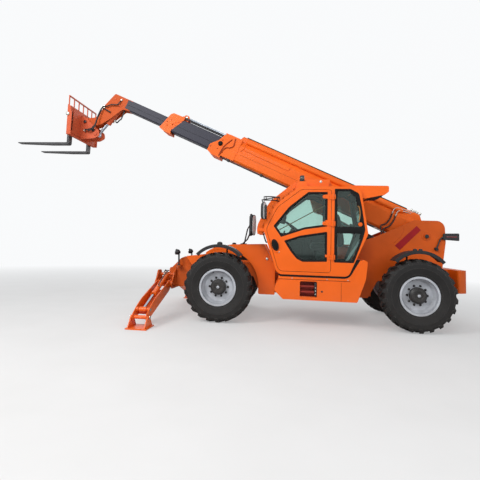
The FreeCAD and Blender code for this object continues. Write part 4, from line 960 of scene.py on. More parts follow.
class PIPE_OT_telehandler_boom_lines(bpy.types.Operator):
    """Adds the pipes under the boom, and dark red lines of painted shadow about its collar"""

    bl_idname = "telehandler.boom_lines"
    bl_label = "Boom pipes and hoses"

    pipe_lanes, hose_lane = (0.112, 0.132, 0.152), 0.173
    pipe_run = ((4.40, -0.190), (4.34, -0.212), (4.25, -0.214), (2.2, -0.214), (0.70, -0.214), (0.60, -0.200))
    hose_run = ((4.36, -0.200), (4.28, -0.217), (3.2, -0.220), (2.0, -0.217), (1.00, -0.214), (0.90, -0.200))
    clamp_places = (4.115, 3.35, 2.55, 1.75, 1.15)
    collar_shadow_runs = (
        ((4.22, 0.215), (4.27, 0.120), (4.318, 0.013), (4.336, -0.138), (4.335, -0.205)),
        ((4.161, 0.262), (4.140, 0.150), (4.136, 0.094), (4.200, 0.030), (4.254, 0.015), (4.300, -0.060),
         (4.337, -0.195)),
    )

    def execute(self, context):
        build("boom_pipes", self.pipes, "zinc", "boom")
        build("boom_line_hose", self.hose, "hose", "boom")
        build("boom_line_clamps", self.clamps, "black", "boom")
        build("collar_shadow_lines", self.collar, "piping", "boom")
        return {"FINISHED"}

    def pipes(self, grid):
        """Steel pipes along the underside, bent in at the collar."""
        for y in self.pipe_lanes:
            add_hose(grid, boom_line(y, self.pipe_run), details().pipe, 8, 4)

    def hose(self, grid):
        """One thicker rubber line beside the pipes."""
        add_hose(grid, boom_line(self.hose_lane, self.hose_run), details().hose, 10, 4)

    def clamps(self, grid):
        for u in self.clamp_places:
            add_slab(grid, (u - 0.022, u + 0.022), (0.098, 0.189), (-0.234, -0.184))

    def collar(self, grid):
        """Two dark red lines that curve over the collar's side, drawn as thin tubes: painted shadow along the
        edges of the collar's plates.
        """
        for run in self.collar_shadow_runs:
            add_hose(grid, boom_line(0.200, run), 0.010, 8, 5)


class HOSE_OT_telehandler_root(bpy.types.Operator):
    """Adds the hoses from the boom's root to the frame, with their unions"""

    bl_idname = "telehandler.root_hoses"
    bl_label = "Root hoses"

    width = 0.196
    union = 0.014
    routes = (
        ((0.686, 0.265), (0.682, 0.063), (0.715, -0.060), (0.790, -0.150)),
        ((0.608, 0.240), (0.606, 0.050), (0.640, -0.080), (0.720, -0.190)),
    )

    def execute(self, context):
        build("root_pipes", self.pipes, "zinc", "boom")
        build("root_unions", self.unions, "zinc", "boom")
        build_between("root_hoses", self.hoses)
        return {"FINISHED"}

    def pipes(self, grid):
        """Bent steel pipes from the valve at the root to the hose ends."""
        y = self.width
        for k, ((u, v), *_) in enumerate(self.routes):
            ends = ((u, y, v - 0.06), (u, y, v), (u - 0.04, y - 0.02, v + 0.055),
                    (u - 0.16, 0.150, v + 0.080), (0.32, 0.120, 0.372 - 0.03 * k))
            add_hose(grid, [on_boom(*end) for end in ends], details().pipe, 8, 5)

    def unions(self, grid):
        """A bank of unions on top of the boom's root, and one at each hose's upper end."""
        for k in range(5):
            foot = on_boom(0.18 + 0.045 * k, 0.085 - 0.03 * (k % 2), 0.385)
            add_fitting(grid, foot, boom_up + Vector((0.2 * (k % 3 - 1), 0.3, 0)), self.union, 0.055)
        for (u, v), *_ in self.routes:
            add_fitting(grid, on_boom(u, self.width, v - 0.045), -boom_up, self.union, 0.05)

    def hoses(self, grid):
        for k, ((u, v), *lower) in enumerate(self.routes):
            ends = [on_boom(u, self.width, v - 0.07)]
            ends += [on_boom(a, 0.205 + 0.02 * i, b) for i, (a, b) in enumerate(lower)]
            ends += [at(0.42 - 0.06 * k, 0.33, 1.66), at(0.40 - 0.06 * k, 0.36, 1.56)]
            add_hose(grid, ends, details().hose)


class HOSE_OT_telehandler_head(bpy.types.Operator):
    """Adds hoses, unions and pin caps of the boom head and the carriage"""

    bl_idname = "telehandler.head"
    bl_label = "Head hoses and pins"

    side_run = ((6.868, 0.128, 0.005), (6.872, 0.150, -0.050), (6.885, 0.152, -0.100), (6.945, 0.152, -0.130),
                (7.020, 0.152, -0.160), (7.089, 0.150, -0.225), (7.150, 0.148, -0.250))
    strap_run = ((7.190, 0.128, -0.292), (7.120, 0.142, -0.305), (6.965, 0.136, -0.318))
    down_run = ((7.170, 0.150, -0.255), (7.175, 0.165, -0.330), (7.173, 0.175, -0.400),
                (7.157, 0.190, -0.559), (7.126, 0.205, -0.700), (7.150, 0.215, -0.810),
                (7.220, 0.215, -0.880), (7.285, 0.210, -0.905))
    side_unions = (((6.862, 0.110, 0.030), 0.014, 0.04), ((7.165, 0.108, -0.250), 0.015, 0.05),
                   ((7.150, 0.108, -0.285), 0.013, 0.04), ((7.190, 0.108, -0.275), 0.013, 0.04))
    head_pins = ((7.011, -0.001), (6.860, -0.098))
    plate_pins = ((6.694, 3.984), (6.500, 3.800))
    port_look = boom_axis * 0.963 + boom_up * 0.269

    def execute(self, context):
        self.top, top_out = touch("boom_inner", on_boom(6.77, 0.05, -0.8), boom_up)
        self.port, port_out = touch("tilt_barrel", on_boom(6.60, 0.0, -0.507), self.port_look)
        build("head_hoses", self.head, "hose", "boom_head")
        build("head_unions", self.unions, "zinc", "boom_head")
        # The head's pin caps take the carriage finish: orange in painted shade
        build("head_pin_caps", self.pins, "carriage", "boom_head")
        build("head_port", self.head_port, "zinc", "boom_head", (top_out,))
        build("barrel_port", self.barrel_port, "zinc", "tilt_cylinder", (port_out,))
        build_between("tilt_hose", self.loop)
        build_between("carriage_hose", self.down)
        build("carriage_fittings", self.carriage, "zinc", "fork_carriage")
        build("carriage_pin_caps", self.carriage_pins, "black", "fork_carriage")
        return {"FINISHED"}

    def head(self, grid):
        """The S-shaped hose on the head's side, and the strap that holds the pair below it."""
        add_hose(grid, [on_boom(*place) for place in self.side_run], 0.013)
        add_tube(grid, [on_boom(*place) for place in self.strap_run], 0.014, 8)

    def loop(self, grid):
        """The hose from a union under the head to the tilt cylinder's port."""
        top, port, look = self.top, self.port, self.port_look
        add_hose(grid, [top - boom_up * 0.035, top - boom_up * 0.060 - boom_axis * 0.012,
                        on_boom(6.712, 0.060, -0.315), on_boom(6.735, 0.060, -0.385),
                        port - look * 0.085, port - look * 0.040], 0.014)

    def head_port(self, grid, out):
        add_fitting(grid, self.top - out * 0.002, out, 0.016, 0.05)

    def barrel_port(self, grid, out):
        add_fitting(grid, self.port - out * 0.003, out, 0.016, 0.05)
        second = self.port - boom_up * 0.05
        add_turned(grid, [(-0.004, 0.012), (0.018, 0.012), (0.020, 0.008)], second, out, 12)

    def unions(self, grid):
        for place, radius, length in self.side_unions:
            add_fitting(grid, on_boom(*place), leftwards, radius, length)

    def pins(self, grid):
        for sign in sides.values():
            for u, v in self.head_pins:
                seat_turned(grid, "boom_inner", on_boom(u, sign * 0.5, v), leftwards * sign,
                            [(-0.002, 0.024), (0.008, 0.024), (0.012, 0.018)], 20)

    def down(self, grid):
        """The hose from the head down to the carriage, and a thinner one close beside it."""
        add_hose(grid, [on_boom(*place) for place in self.down_run], 0.014)
        add_hose(grid, [on_boom(u - 0.012, y - 0.004, v - 0.03) for u, y, v in self.down_run[1:-1]], 0.012)

    def carriage(self, grid):
        """A round silver cap on the near side plate and a union for the hose."""
        seat_turned(grid, "carriage", at(6.854, 1.2, 4.026), leftwards,
                    [(-0.002, 0.040), (0.010, 0.040), (0.019, 0.032), (0.022, 0.016)], 28)
        add_fitting(grid, on_boom(7.285, 0.165, -0.925), leftwards, 0.017, 0.055)

    def carriage_pins(self, grid):
        for sign in sides.values():
            for x, z in self.plate_pins:
                seat_turned(grid, "carriage", at(x, sign * 1.2, z), leftwards * sign,
                            [(-0.002, 0.034), (0.010, 0.034), (0.016, 0.026), (0.016, 0.010)])


class CAB_OT_telehandler_glazing(bpy.types.Operator):
    """Adds rubber seals round every pane, the rear pane's dark border and bar, and the wiper"""

    bl_idname = "telehandler.glazing"
    bl_label = "Glazing"

    seal_profile = ((-0.014, -0.004), (-0.014, 0.007), (-0.004, 0.012), (0.022, 0.010), (0.034, 0.006),
                    (0.038, 0.001), (0.038, -0.002))
    border_face, border_thick = 1.154, 0.004
    border_front = ((1.428, 1.14), (1.428, 2.43), (1.376, 2.43), (1.376, 1.14))
    border_rear = ((1.150, 2.424), (1.010, 2.345), (0.962, 2.110), (0.905, 1.715), (0.950, 1.545),
                   (1.005, 1.560), (0.972, 1.715), (1.022, 2.085), (1.068, 2.285), (1.165, 2.360))
    knob_profile = ((-0.004, 0.036), (0.008, 0.036), (0.014, 0.030), (0.014, 0.014), (0.022, 0.012),
                    (0.024, 0.008))
    strap_run = ((1.030, 1.150, 2.130), (1.006, 1.158, 2.110), (0.990, 1.160, 2.000), (1.000, 1.160, 1.900),
                 (1.012, 1.156, 1.880))
    stay_places = ((1.196, 1.150), (1.236, 1.163), (1.016, 1.515), (0.980, 1.500))
    before_cab = 3.4
    blade_steps = 13

    def execute(self, context):
        low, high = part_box("cab_shell")
        self.middle = (low + high) / 2
        build("cab_seals", self.seals, "seal", "chassis", ("cab_glass",))
        build("door_seals", self.seals, "seal", "door", ("door_glass",))
        build("rear_pane_border", self.border, "seal", "chassis")
        build("rear_pane_latch", self.latch, "orange", "chassis")
        build("rear_pane_strap", self.strap, "ochre", "chassis")
        build("rear_pane_stay", self.stay, "silver", "chassis")
        build("windscreen_wiper", self.wiper, "black", "chassis")
        return {"FINISHED"}

    def faces_out(self, place, normal):
        off = place - self.middle
        if abs(off.y) > 0.4:
            return abs(normal.y) > 0.9 and normal.y * off.y > 0
        return normal.dot(off.normalized()) > 0.6

    def seals(self, grid, name):
        for loop, normals in outline_of(name, self.faces_out):
            add_band(grid, loop, normals, self.seal_profile)

    def border(self, grid):
        """The broad black border printed on the fixed side pane, with the bar across it."""
        y = self.border_face
        add_block(grid, at(0.925, y - 0.001, 1.648), at(1.402, y + 0.007, 1.765), 0.004)
        for places in (self.border_front, self.border_rear):
            add_plate(grid, y, places, self.border_thick)

    def latch(self, grid):
        """The round release knob of the pane."""
        add_turned(grid, self.knob_profile, at(0.985, 1.160, 1.811), leftwards)

    def strap(self, grid):
        add_hose(grid, [at(*place) for place in self.strap_run], 0.009, 8, 5)

    def stay(self, grid):
        """The pale slanting bar behind the lower rear pane."""
        add_plate(grid, 1.118, self.stay_places, 0.006)

    def on_windscreen(self, y, z):
        return touch("cab_glass", at(self.before_cab, y, z), -forwards)

    def wiper(self, grid):
        """Arm, blade and pivot on the windscreen."""
        pivot, out = self.on_windscreen(0.50, 1.42)
        reach, tilt = self.on_windscreen(0.86, 1.80)
        add_turned(grid, [(-0.004, 0.022), (0.030, 0.022), (0.036, 0.016)], pivot, out, 16)
        elbow = (pivot + reach) / 2 + (out + tilt) * 0.03
        add_tube(grid, [pivot + out * 0.028, elbow, reach + tilt * 0.022], 0.006, 8)
        blade = []
        for k in range(self.blade_steps):
            spot, face = self.on_windscreen(0.66 + 0.02 * k, 1.58 + 0.036 * k)
            blade.append(spot + face * 0.012)
        for ends in zip(blade, blade[1:]):
            add_tube(grid, ends, 0.006, 6)


class CAB_OT_telehandler_fittings(bpy.types.Operator):
    """Adds the door handle, hinges, screws, roof bracket, grab rail, blower box and the beacon's lens"""

    bl_idname = "telehandler.cab"
    bl_label = "Cab fittings"

    handle_half, handle_lean, handle_steps = (0.060, 0.106), 19, 40
    handle_profile = ((0, -0.017), (0, 0.004), (0.004, 0.009), (0.012, 0.008), (0.018, 0.003),
                      (0.018, -0.017))
    lever_run = ((0.004, 0.002, 0.076), (-0.004, 0.013, 0.044), (-0.004, 0.014, -0.030),
                 (0.006, 0.003, -0.070))
    lock_profile = ((-0.001, 0.017), (0.006, 0.017), (0.009, 0.013), (0.009, 0.004))
    hinges = ((1.231, 0.060, (1.505,)), (1.814, 0.150, (1.520, 1.585)), (2.284, 0.150, (1.520, 1.585)))
    roof_screws = ((1.35, 1.02), (1.35, 0.40), (1.80, 0.40))
    bracket_outline = ((1.940, 2.572), (1.904, 2.607), (1.492, 2.612), (1.519, 2.455), (1.880, 2.455))
    bracket_foot = ((1.52, 2.455), (1.52, 2.468), (1.88, 2.468), (1.88, 2.455))
    beacon_profile = ((0.0, 0.043), (0.010, 0.045), (0.050, 0.042), (0.062, 0.034), (0.070, 0.014))

    def execute(self, context):
        build("door_handle", self.handle, "seal", "door")
        build("door_lock", self.lock, "zinc", "door")
        build("door_hinge_leaves", self.leaves, "orange", "door")
        build("door_hinge_screws", self.screws, "orange", "door")
        build("pillar_hinge_leaves", self.pillar, "orange", "chassis")
        build("roof_screws", self.roof, "zinc", "chassis")
        build("roof_bracket", self.bracket, "orange", "chassis")
        build("beacon_lens", self.beacon, "amber", "chassis")
        build("grab_rail", self.rail, "black", "chassis")
        build("visor_housing", self.housing, "black", "chassis")
        return {"FINISHED"}

    def handle(self, grid):
        """An oval dished plate with a lever across it."""
        centre, _ = touch("cab_door", at(2.444, 1.5, 1.410), -leftwards)
        lean = turned_about_y(self.handle_lean)
        wide, tall = self.handle_half
        oval = circle(Vector(), forwards * wide, -upwards * tall, 1, self.handle_steps)
        loop = [centre + lean @ point for point in oval]
        add_band(grid, loop, [leftwards] * self.handle_steps, self.handle_profile)
        dish = [centre + (point - centre) * 0.80 - leftwards * 0.001 for point in loop]
        add_sheet(grid, dish, leftwards * 0.005)
        add_hose(grid, [centre + lean @ Vector(place) for place in self.lever_run], 0.011, 10, 5)

    def lock(self, grid):
        add_turned(grid, self.lock_profile, at(2.378, 1.170, 1.292), leftwards, 20)

    def leaves(self, grid):
        """Tapered hinge leaves on the door, one at each barrel."""
        for z, reach, _ in self.hinges:
            upper = ((1.462, 0.046), (1.505, 0.043), (1.470 + reach, 0.030), (1.482 + reach, 0.012))
            lower = [(x, -up) for x, up in reversed(upper)]
            add_plate(grid, 1.166, [(x, z + up) for x, up in (*upper, *lower)], 0.016)
            add_tube(grid, [at(1.455, 1.190, z - 0.052), at(1.455, 1.190, z + 0.052)], 0.018, 14)

    def screws(self, grid):
        for z, _, places in self.hinges:
            for x in places:
                add_bolt(grid, at(x, 1.181, z), leftwards, 0.009)

    def pillar(self, grid):
        for z, *_ in self.hinges:
            add_block(grid, at(1.408, 1.160, z - 0.042), at(1.450, 1.181, z + 0.042), 0.004)

    def roof(self, grid):
        for x, y in self.roof_screws:
            spot, out = touch("cab_shell", at(x, y, 2.9), -upwards)
            add_bolt(grid, spot - out * 0.001, out, 0.013)
        add_bolt(grid, at(1.657, 1.051, 2.568), leftwards, 0.017)

    def bracket(self, grid):
        """The upright plate on the roof's edge behind the beacon."""
        add_plate(grid, 1.040, self.bracket_outline, 0.012)
        add_plate(grid, 0.985, self.bracket_foot, 0.060)

    def beacon(self, grid):
        """A smoked dome over the beacon's foot."""
        add_turned(grid, self.beacon_profile, at(1.990, 1.060, 2.60), upwards, 28)

    def rail(self, grid):
        """A bent grab rail on the pillar ahead of the door."""
        start, end = (touch("cab_shell", at(3.4, 1.12, z), -forwards)[0] for z in (1.46, 1.60))
        lift = forwards * 0.022
        add_hose(grid, [start, start + lift, (start + end) / 2 + lift * 1.2, end + lift, end], 0.012, 10, 5)

    def housing(self, grid):
        """A dark blower box under the visor, behind the roof, with slats below."""
        low, high = at(0.590, 0.62, 2.290), at(0.860, 1.06, 2.372)
        corners = ((low.x + 0.06, high.z), (low.x, low.z + 0.045), (low.x + 0.015, low.z + 0.02),
                   (high.x - 0.01, low.z - 0.01), (high.x, high.z - 0.04))
        add_sheet(grid, [Vector((x, low.y, z)) for x, z in corners], leftwards * (high.y - low.y))
        for k in range(7):
            y = low.y + 0.05 + 0.055 * k
            add_block(grid, (low.x + 0.05, y, low.z - 0.004), (high.x - 0.05, y + 0.022, low.z + 0.03), 0.003)


class SEAT_OT_telehandler_driver(bpy.types.Operator):
    """Replaces the plain seat by a padded cushion and back, with armrests and piping"""

    bl_idname = "telehandler.seat"
    bl_label = "Driver's seat"

    corner_power = 5
    channels, bolster_at = (-0.45, 0.0, 0.45), 0.78
    cushion_half, back_half = Vector((0.230, 0.228, 0.070)), Vector((0.300, 0.220, 0.062))
    arm_run = ((0.13, 0.30), (0.25, 0.305), (0.42, 0.300))

    def execute(self, context):
        self.low, self.high = low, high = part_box("cab_seat")
        self.middle = middle = (low.y + high.y) / 2
        cushion = build("seat_cushion", self.pad, "cloth", "chassis",
                        (Vector((low.x + 0.37, middle, low.z + 0.075)), self.cushion_half, 4.0))
        back = build("seat_back", self.pad, "cloth", "chassis",
                     (Vector((low.x + 0.105, middle, low.z + 0.385)), self.back_half, 80.0))
        for made in (cushion, back):
            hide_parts("cab_seat")
        build("seat_armrests", self.arms, "trim", "chassis")
        build("seat_piping", self.piping, "seal", "chassis")
        return {"FINISHED"}

    def swell(self, *share):
        """How far a point of a box stands out over the rounded form within it."""
        return sum(abs(part) ** self.corner_power for part in share) ** (1 / self.corner_power)

    def pad(self, grid, centre, half, lean):
        """A crowned pad with sewn channels across it and raised side bolsters."""
        turn = turned_about_y(-lean)
        bmesh.ops.create_cube(grid, size=2.0)
        bmesh.ops.subdivide_edges(grid, edges=grid.edges[:], cuts=23, use_grid_fill=True)
        for vert in grid.verts:
            x, y, z = vert.co / self.swell(*vert.co)
            if z > 0:
                bolster = 0.30 * math.exp(-((abs(y) - self.bolster_at) / 0.16) ** 2)
                channel = sum(0.16 * math.exp(-((x - along) / 0.035) ** 2) for along in self.channels)
                z = z * (0.72 + 0.14 * (1 - x * x) + bolster) - channel * (1 if abs(y) < 0.62 else 0.2)
            vert.co = centre + turn @ Vector((x * half.x, y * half.y, z * half.z))

    def arms(self, grid):
        for y in (self.low.y + 0.012, self.high.y - 0.012):
            path = [Vector((self.low.x + ahead, y, self.low.z + up)) for ahead, up in self.arm_run]
            add_tube(grid, path, [0.020, 0.024, 0.020], 12)

    def piping(self, grid):
        """A sewn cord round the cushion's edge."""
        loop = []
        for point in circle(Vector(), forwards, leftwards, 1, 48):
            x, y, _ = point / self.swell(*point)
            loop.append(Vector((self.low.x + 0.37 + 0.231 * x, self.middle + 0.229 * y, self.low.z + 0.072)))
        add_tube(grid, loop + loop[:1], 0.004, 6)


class CAB_OT_telehandler_interior(bpy.types.Operator):
    """Adds the wheel's grip, levers, screen, mirror, pane strut, mat and lining inside the cab"""

    bl_idname = "telehandler.interior"
    bl_label = "Cab interior"

    wheel_hub = (2.110, 0.720, 1.740)
    wheel_axis = (-0.180, 0.0, 0.260)
    wheel_radius, spoke_long = 0.185, 0.180
    knob_profile = ((0.0, 0.010), (0.022, 0.010), (0.030, 0.022), (0.052, 0.024), (0.062, 0.014))
    stick_profile = ((0.07, 0.010), (0.130, 0.011), (0.150, 0.024), (0.205, 0.028), (0.228, 0.022),
                     (0.236, 0.010))
    strut_ends = ((2.365, 1.690), (1.551, 2.150))
    screen_half = Vector((0.012, 0.09, 0.055))

    def execute(self, context):
        build("wheel_grip", self.grip, "trim", "chassis")
        build("inside_mirror", self.mirror, "black", "chassis")
        build("gas_strut", self.strut, "ochre", "door")
        build("control_lever", self.lever, "trim", "chassis")
        build("dash_screen", self.screen, "seal", "chassis")
        build("floor_mat", self.mat, "trim", "chassis")
        build("head_lining", self.lining, "lining", "chassis")
        return {"FINISHED"}

    def grip(self, grid):
        """A thick rim, three spokes and a knob on the steering wheel."""
        centre, axis = at(*self.wheel_hub), Vector(self.wheel_axis).normalized()
        side, up = frame_at(axis)
        rim = circle(centre, side, up, self.wheel_radius, 48)
        add_tube(grid, rim + rim[:1], 0.017, 10)
        for k in range(3):
            end = centre + spoke(side, up, 2 * math.pi * k / 3 + 0.5) * self.spoke_long
            bent = [centre - axis * 0.02, (centre + end) / 2 - axis * 0.012, end]
            add_tube(grid, bent, [0.020, 0.013, 0.012], 8)
        add_turned(grid, [(-0.03, 0.034), (0.006, 0.042), (0.014, 0.034), (0.017, 0.010)], centre, axis, 24)
        knob = centre + spoke(side, up, 2.2) * self.wheel_radius
        add_turned(grid, self.knob_profile, knob, axis, 16)

    def mirror(self, grid):
        turn = turned_about_y(-14).to_quaternion()
        add_block(grid, at(2.262, 0.925, 1.800), at(2.358, 0.960, 1.950), 0.014, turn)
        add_tube(grid, [at(2.325, 0.940, 1.930), at(2.350, 0.95, 1.99), at(2.43, 1.00, 2.05)], 0.007, 8)

    def strut(self, grid):
        """The thin bar that holds the upper door pane."""
        add_tube(grid, side_line(1.128, self.strut_ends), 0.008, 8)
        for end in side_line(1.132, self.strut_ends):
            add_turned(grid, [(-0.008, 0.014), (0.012, 0.014)], end, leftwards, 12)

    def lever(self, grid):
        """A joystick with a rubber boot on the right console."""
        spot, _ = touch("cab_controls", at(1.80, 0.39, 2.2), -upwards)
        up = Vector((0.12, 0.0, 1.0)).normalized()
        boot = [(-0.002, 0.050)]
        for k in range(6):
            boot += [(0.010 + 0.011 * k, 0.046 - 0.0055 * k), (0.016 + 0.011 * k, 0.038 - 0.0055 * k)]
        add_turned(grid, boot, spot, up, 24)
        add_turned(grid, self.stick_profile, spot, up, 20)

    def screen(self, grid):
        middle = at(2.300, 0.78, 1.63)
        turn = turned_about_y(-25).to_quaternion()
        add_block(grid, middle - self.screen_half, middle + self.screen_half, 0.008, turn)
        add_tube(grid, [middle, at(2.34, 0.78, 1.50)], 0.012, 8)

    def mat(self, grid):
        """A ribbed rubber mat on the cab floor."""
        z = touch("cab_shell", at(1.86, 0.74, 1.30), -upwards)[0].z
        add_block(grid, at(1.74, 0.42, z - 0.001), at(2.30, 1.08, z + 0.007), 0.003)
        for k in range(14):
            x = 1.765 + 0.038 * k
            add_block(grid, at(x, 0.44, z + 0.006), at(x + 0.016, 1.06, z + 0.011), 0.002)

    def lining(self, grid):
        """A soft panel under the roof."""
        z = touch("cab_shell", at(1.60, 0.72, 1.60), upwards)[0].z
        add_block(grid, at(1.10, 0.36, z - 0.030), at(1.95, 1.06, z - 0.002), 0.012)


class BODY_OT_telehandler_bodywork(bpy.types.Operator):
    """Adds seams, latches, the red stripe, pin caps, tank fittings, steps and mudguard lips"""

    bl_idname = "telehandler.bodywork"
    bl_label = "Bodywork fittings"

    stripe = ((0.208, 1.471), (-0.191, 1.853), (-0.265, 1.777), (0.116, 1.389))
    weld_run = ((0.010, 1.960), (0.040, 1.860), (0.050, 1.750), (0.120, 1.620), (0.276, 1.480))
    frame_pins = ((-0.360, 1.660, 0.036), (-0.534, 1.424, 0.030))
    cab_corners = ((2.306, 1.035, 0.130, (25, 12, 0)), (1.2516, 1.015, 0.110, (0, -22, -44, -66.1)))
    sill_below = ((0.925, 1.195), (1.070, 0.875), (1.150, 0.800), (2.372, 0.800))
    arch_top = ((3.10, 1.396), (3.33, 1.385), (3.486, 1.368), (3.604, 1.342), (3.721, 1.282), (3.800, 1.228))
    arch_radius, arch_middle = 0.612, 0.625
    lip_profile = ((0.552, 0.002), (0.552, 0.0), (0.546, -0.002), (0.494, 0.0), (0.494, 0.012),
                   (0.540, 0.014))
    lip_reach, lip_steps = 48, 28
    knob_profile = ((-0.006, 0.034), (0.014, 0.034), (0.028, 0.026), (0.034, 0.010))
    stay_knobs = {"front": ((0.0, 1.5),), "rear": ((-0.045, 1.0), (0.045, 1.0))}

    def execute(self, context):
        build("red_stripes", self.stripes, "signal", "chassis")
        build("frame_pin_caps", self.pins, "black", "chassis")
        # The weld beads take the frame finish: orange in painted shade
        build("frame_seams", self.seams, "frame", "chassis")
        build("body_latches", self.latches, "zinc", "chassis")
        build("tank_seams", self.tank, "seal", "chassis")
        build("step_tread", self.step, "orange", "chassis")
        build("step_plate", self.plate, "black", "chassis")
        build("step_screws", self.plate_screws, "zinc", "chassis")
        build("cab_sill", self.sill, "orange", "chassis")
        build("cab_skirt", self.skirt, "seal", "chassis")
        build("sill_screws", self.sill_screws, "zinc", "chassis")
        build("arch_panel", self.arch, "orange", "chassis")
        build("tank_lock", self.lock, "black", "chassis")
        for name, centre, out in wheel_places():
            build(f"mudguard_lip_{name}", self.lip, "fender", f"{name}_knuckle",
                  (name, centre, out))
        return {"FINISHED"}

    def stripes(self, grid):
        for sign in sides.values():
            add_plate(grid, sign * 0.4185, self.stripe, sign * 0.0045)

    def pins(self, grid):
        """Flanged caps on the boom's main pin and on the lift cylinder's."""
        for sign in sides.values():
            for x, z, radius in self.frame_pins:
                profile = [(-0.003, radius), (0.010, radius), (0.016, radius * 0.85), (0.016, radius * 0.45),
                           (0.010, radius * 0.4)]
                seat_turned(grid, "frame_sides frame_members lamps_and_mirrors", at(x, sign * 0.9, z),
                            leftwards * sign, profile, 28)

    def seams(self, grid):
        """Rounded weld beads where the reinforcing plate meets the upright."""
        for sign in sides.values():
            add_hose(grid, side_line(sign * 0.4195, self.weld_run), 0.005, 6, 5)

    def latches(self, grid):
        seat_turned(grid, "front_body", at(2.603, 2.0, 1.140), leftwards,
                    [(-0.002, 0.026), (0.008, 0.026), (0.014, 0.018), (0.014, 0.008)], 20)

    def tank(self, grid):
        """Door gap of the tank box, and the joint below the cab's panel."""
        add_tube(grid, side_line(1.1745, ((2.370, 0.826), (1.150, 0.826))), 0.0045, 6)
        add_tube(grid, side_line(1.1805, ((1.300, 0.80), (1.300, 0.48))), 0.0022, 6)

    def step(self, grid):
        """A serrated tread strip along the step's lower edge."""
        add_block(grid, at(1.712, 1.110, 0.526), at(1.997, 1.176, 0.534), 0.002)
        for k in range(9):
            x = 1.728 + 0.030 * k
            tooth = ((x, 0.532), (x + 0.022, 0.532), (x + 0.016, 0.546), (x + 0.006, 0.546))
            add_plate(grid, 1.160, tooth, 0.012)

    def plate(self, grid):
        """The dark catch plate at the step's rear side."""
        add_block(grid, at(1.711, 1.125, 0.545), at(1.752, 1.168, 0.785), 0.006)

    def plate_screws(self, grid):
        for z in (0.583, 0.640, 0.693):
            add_bolt(grid, at(1.732, 1.167, z), leftwards, 0.008)

    def under_cab(self, gap, spread=0.0):
        """Points of the cab's lower outline, front to rear, a gap away from it."""
        points = []
        for x, z, rounding, turns in self.cab_corners:
            for turn in turns:
                ray = math.radians(turn)
                points.append((x + (rounding + gap) * math.sin(ray), z - (rounding + gap) * math.cos(ray)))
        x, z = points[-1]
        return [*points, (x - 0.040 - spread * 0.3, z + 0.090), (x - 0.105 - spread, z + 0.235)]

    def sill(self, grid):
        """The orange panel between the tank box and the cab, following the cab's outline."""
        add_plate(grid, 1.146, (*self.under_cab(0.036, 0.03), *self.sill_below), 0.030)

    def skirt(self, grid):
        """The rubber between the panel and the cab."""
        add_plate(grid, 1.126, (*self.under_cab(0.001), *reversed(self.under_cab(0.041, 0.04))), 0.036)

    def sill_screws(self, grid):
        for x in (2.137, 1.540, 1.188):
            add_bolt(grid, at(x, 1.1755, 0.846), leftwards, 0.007)

    def arch(self, grid):
        """The panel over the front wheel, between the mudguard and the tyre."""
        low = []
        for k in range(9):
            x = 3.70 - 0.0625 * k
            low.append((x, self.arch_middle + math.sqrt(self.arch_radius ** 2 - (x - wheel_base) ** 2)))
        add_plate(grid, 0.530, (*self.arch_top, (3.80, 1.150), *low, (3.10, 1.150)), 0.027)

    def lock(self, grid):
        foot = at(1.624, 1.180, 0.636)
        add_turned(grid, [(-0.002, 0.016), (0.006, 0.016), (0.010, 0.010)], foot, leftwards, 20)

    def lip(self, grid, name, centre, out):
        """A rolled lip along the mudguard's outer edge, and the caps of its stay."""
        middle = Vector((centre.x, 0, 0.842))
        rings = []
        for k in range(self.lip_steps + 1):
            ray = spoke(upwards, forwards, math.radians(self.lip_reach * (2 * k / self.lip_steps - 1)))
            rings.append(ring_of(grid, [middle + ray * radius + out * 1.168 - out * inset
                                        for radius, inset in self.lip_profile]))
        add_skin(grid, rings)
        top, _ = touch("knuckle_" + name, Vector((centre.x, 0, 2.0)) + out * 1.05, -upwards)
        for shift, size in self.stay_knobs[name.split("_")[0]]:
            add_turned(grid, [(along * size, radius * size) for along, radius in self.knob_profile],
                       top + Vector((shift, 0, -0.003)), upwards, 20)


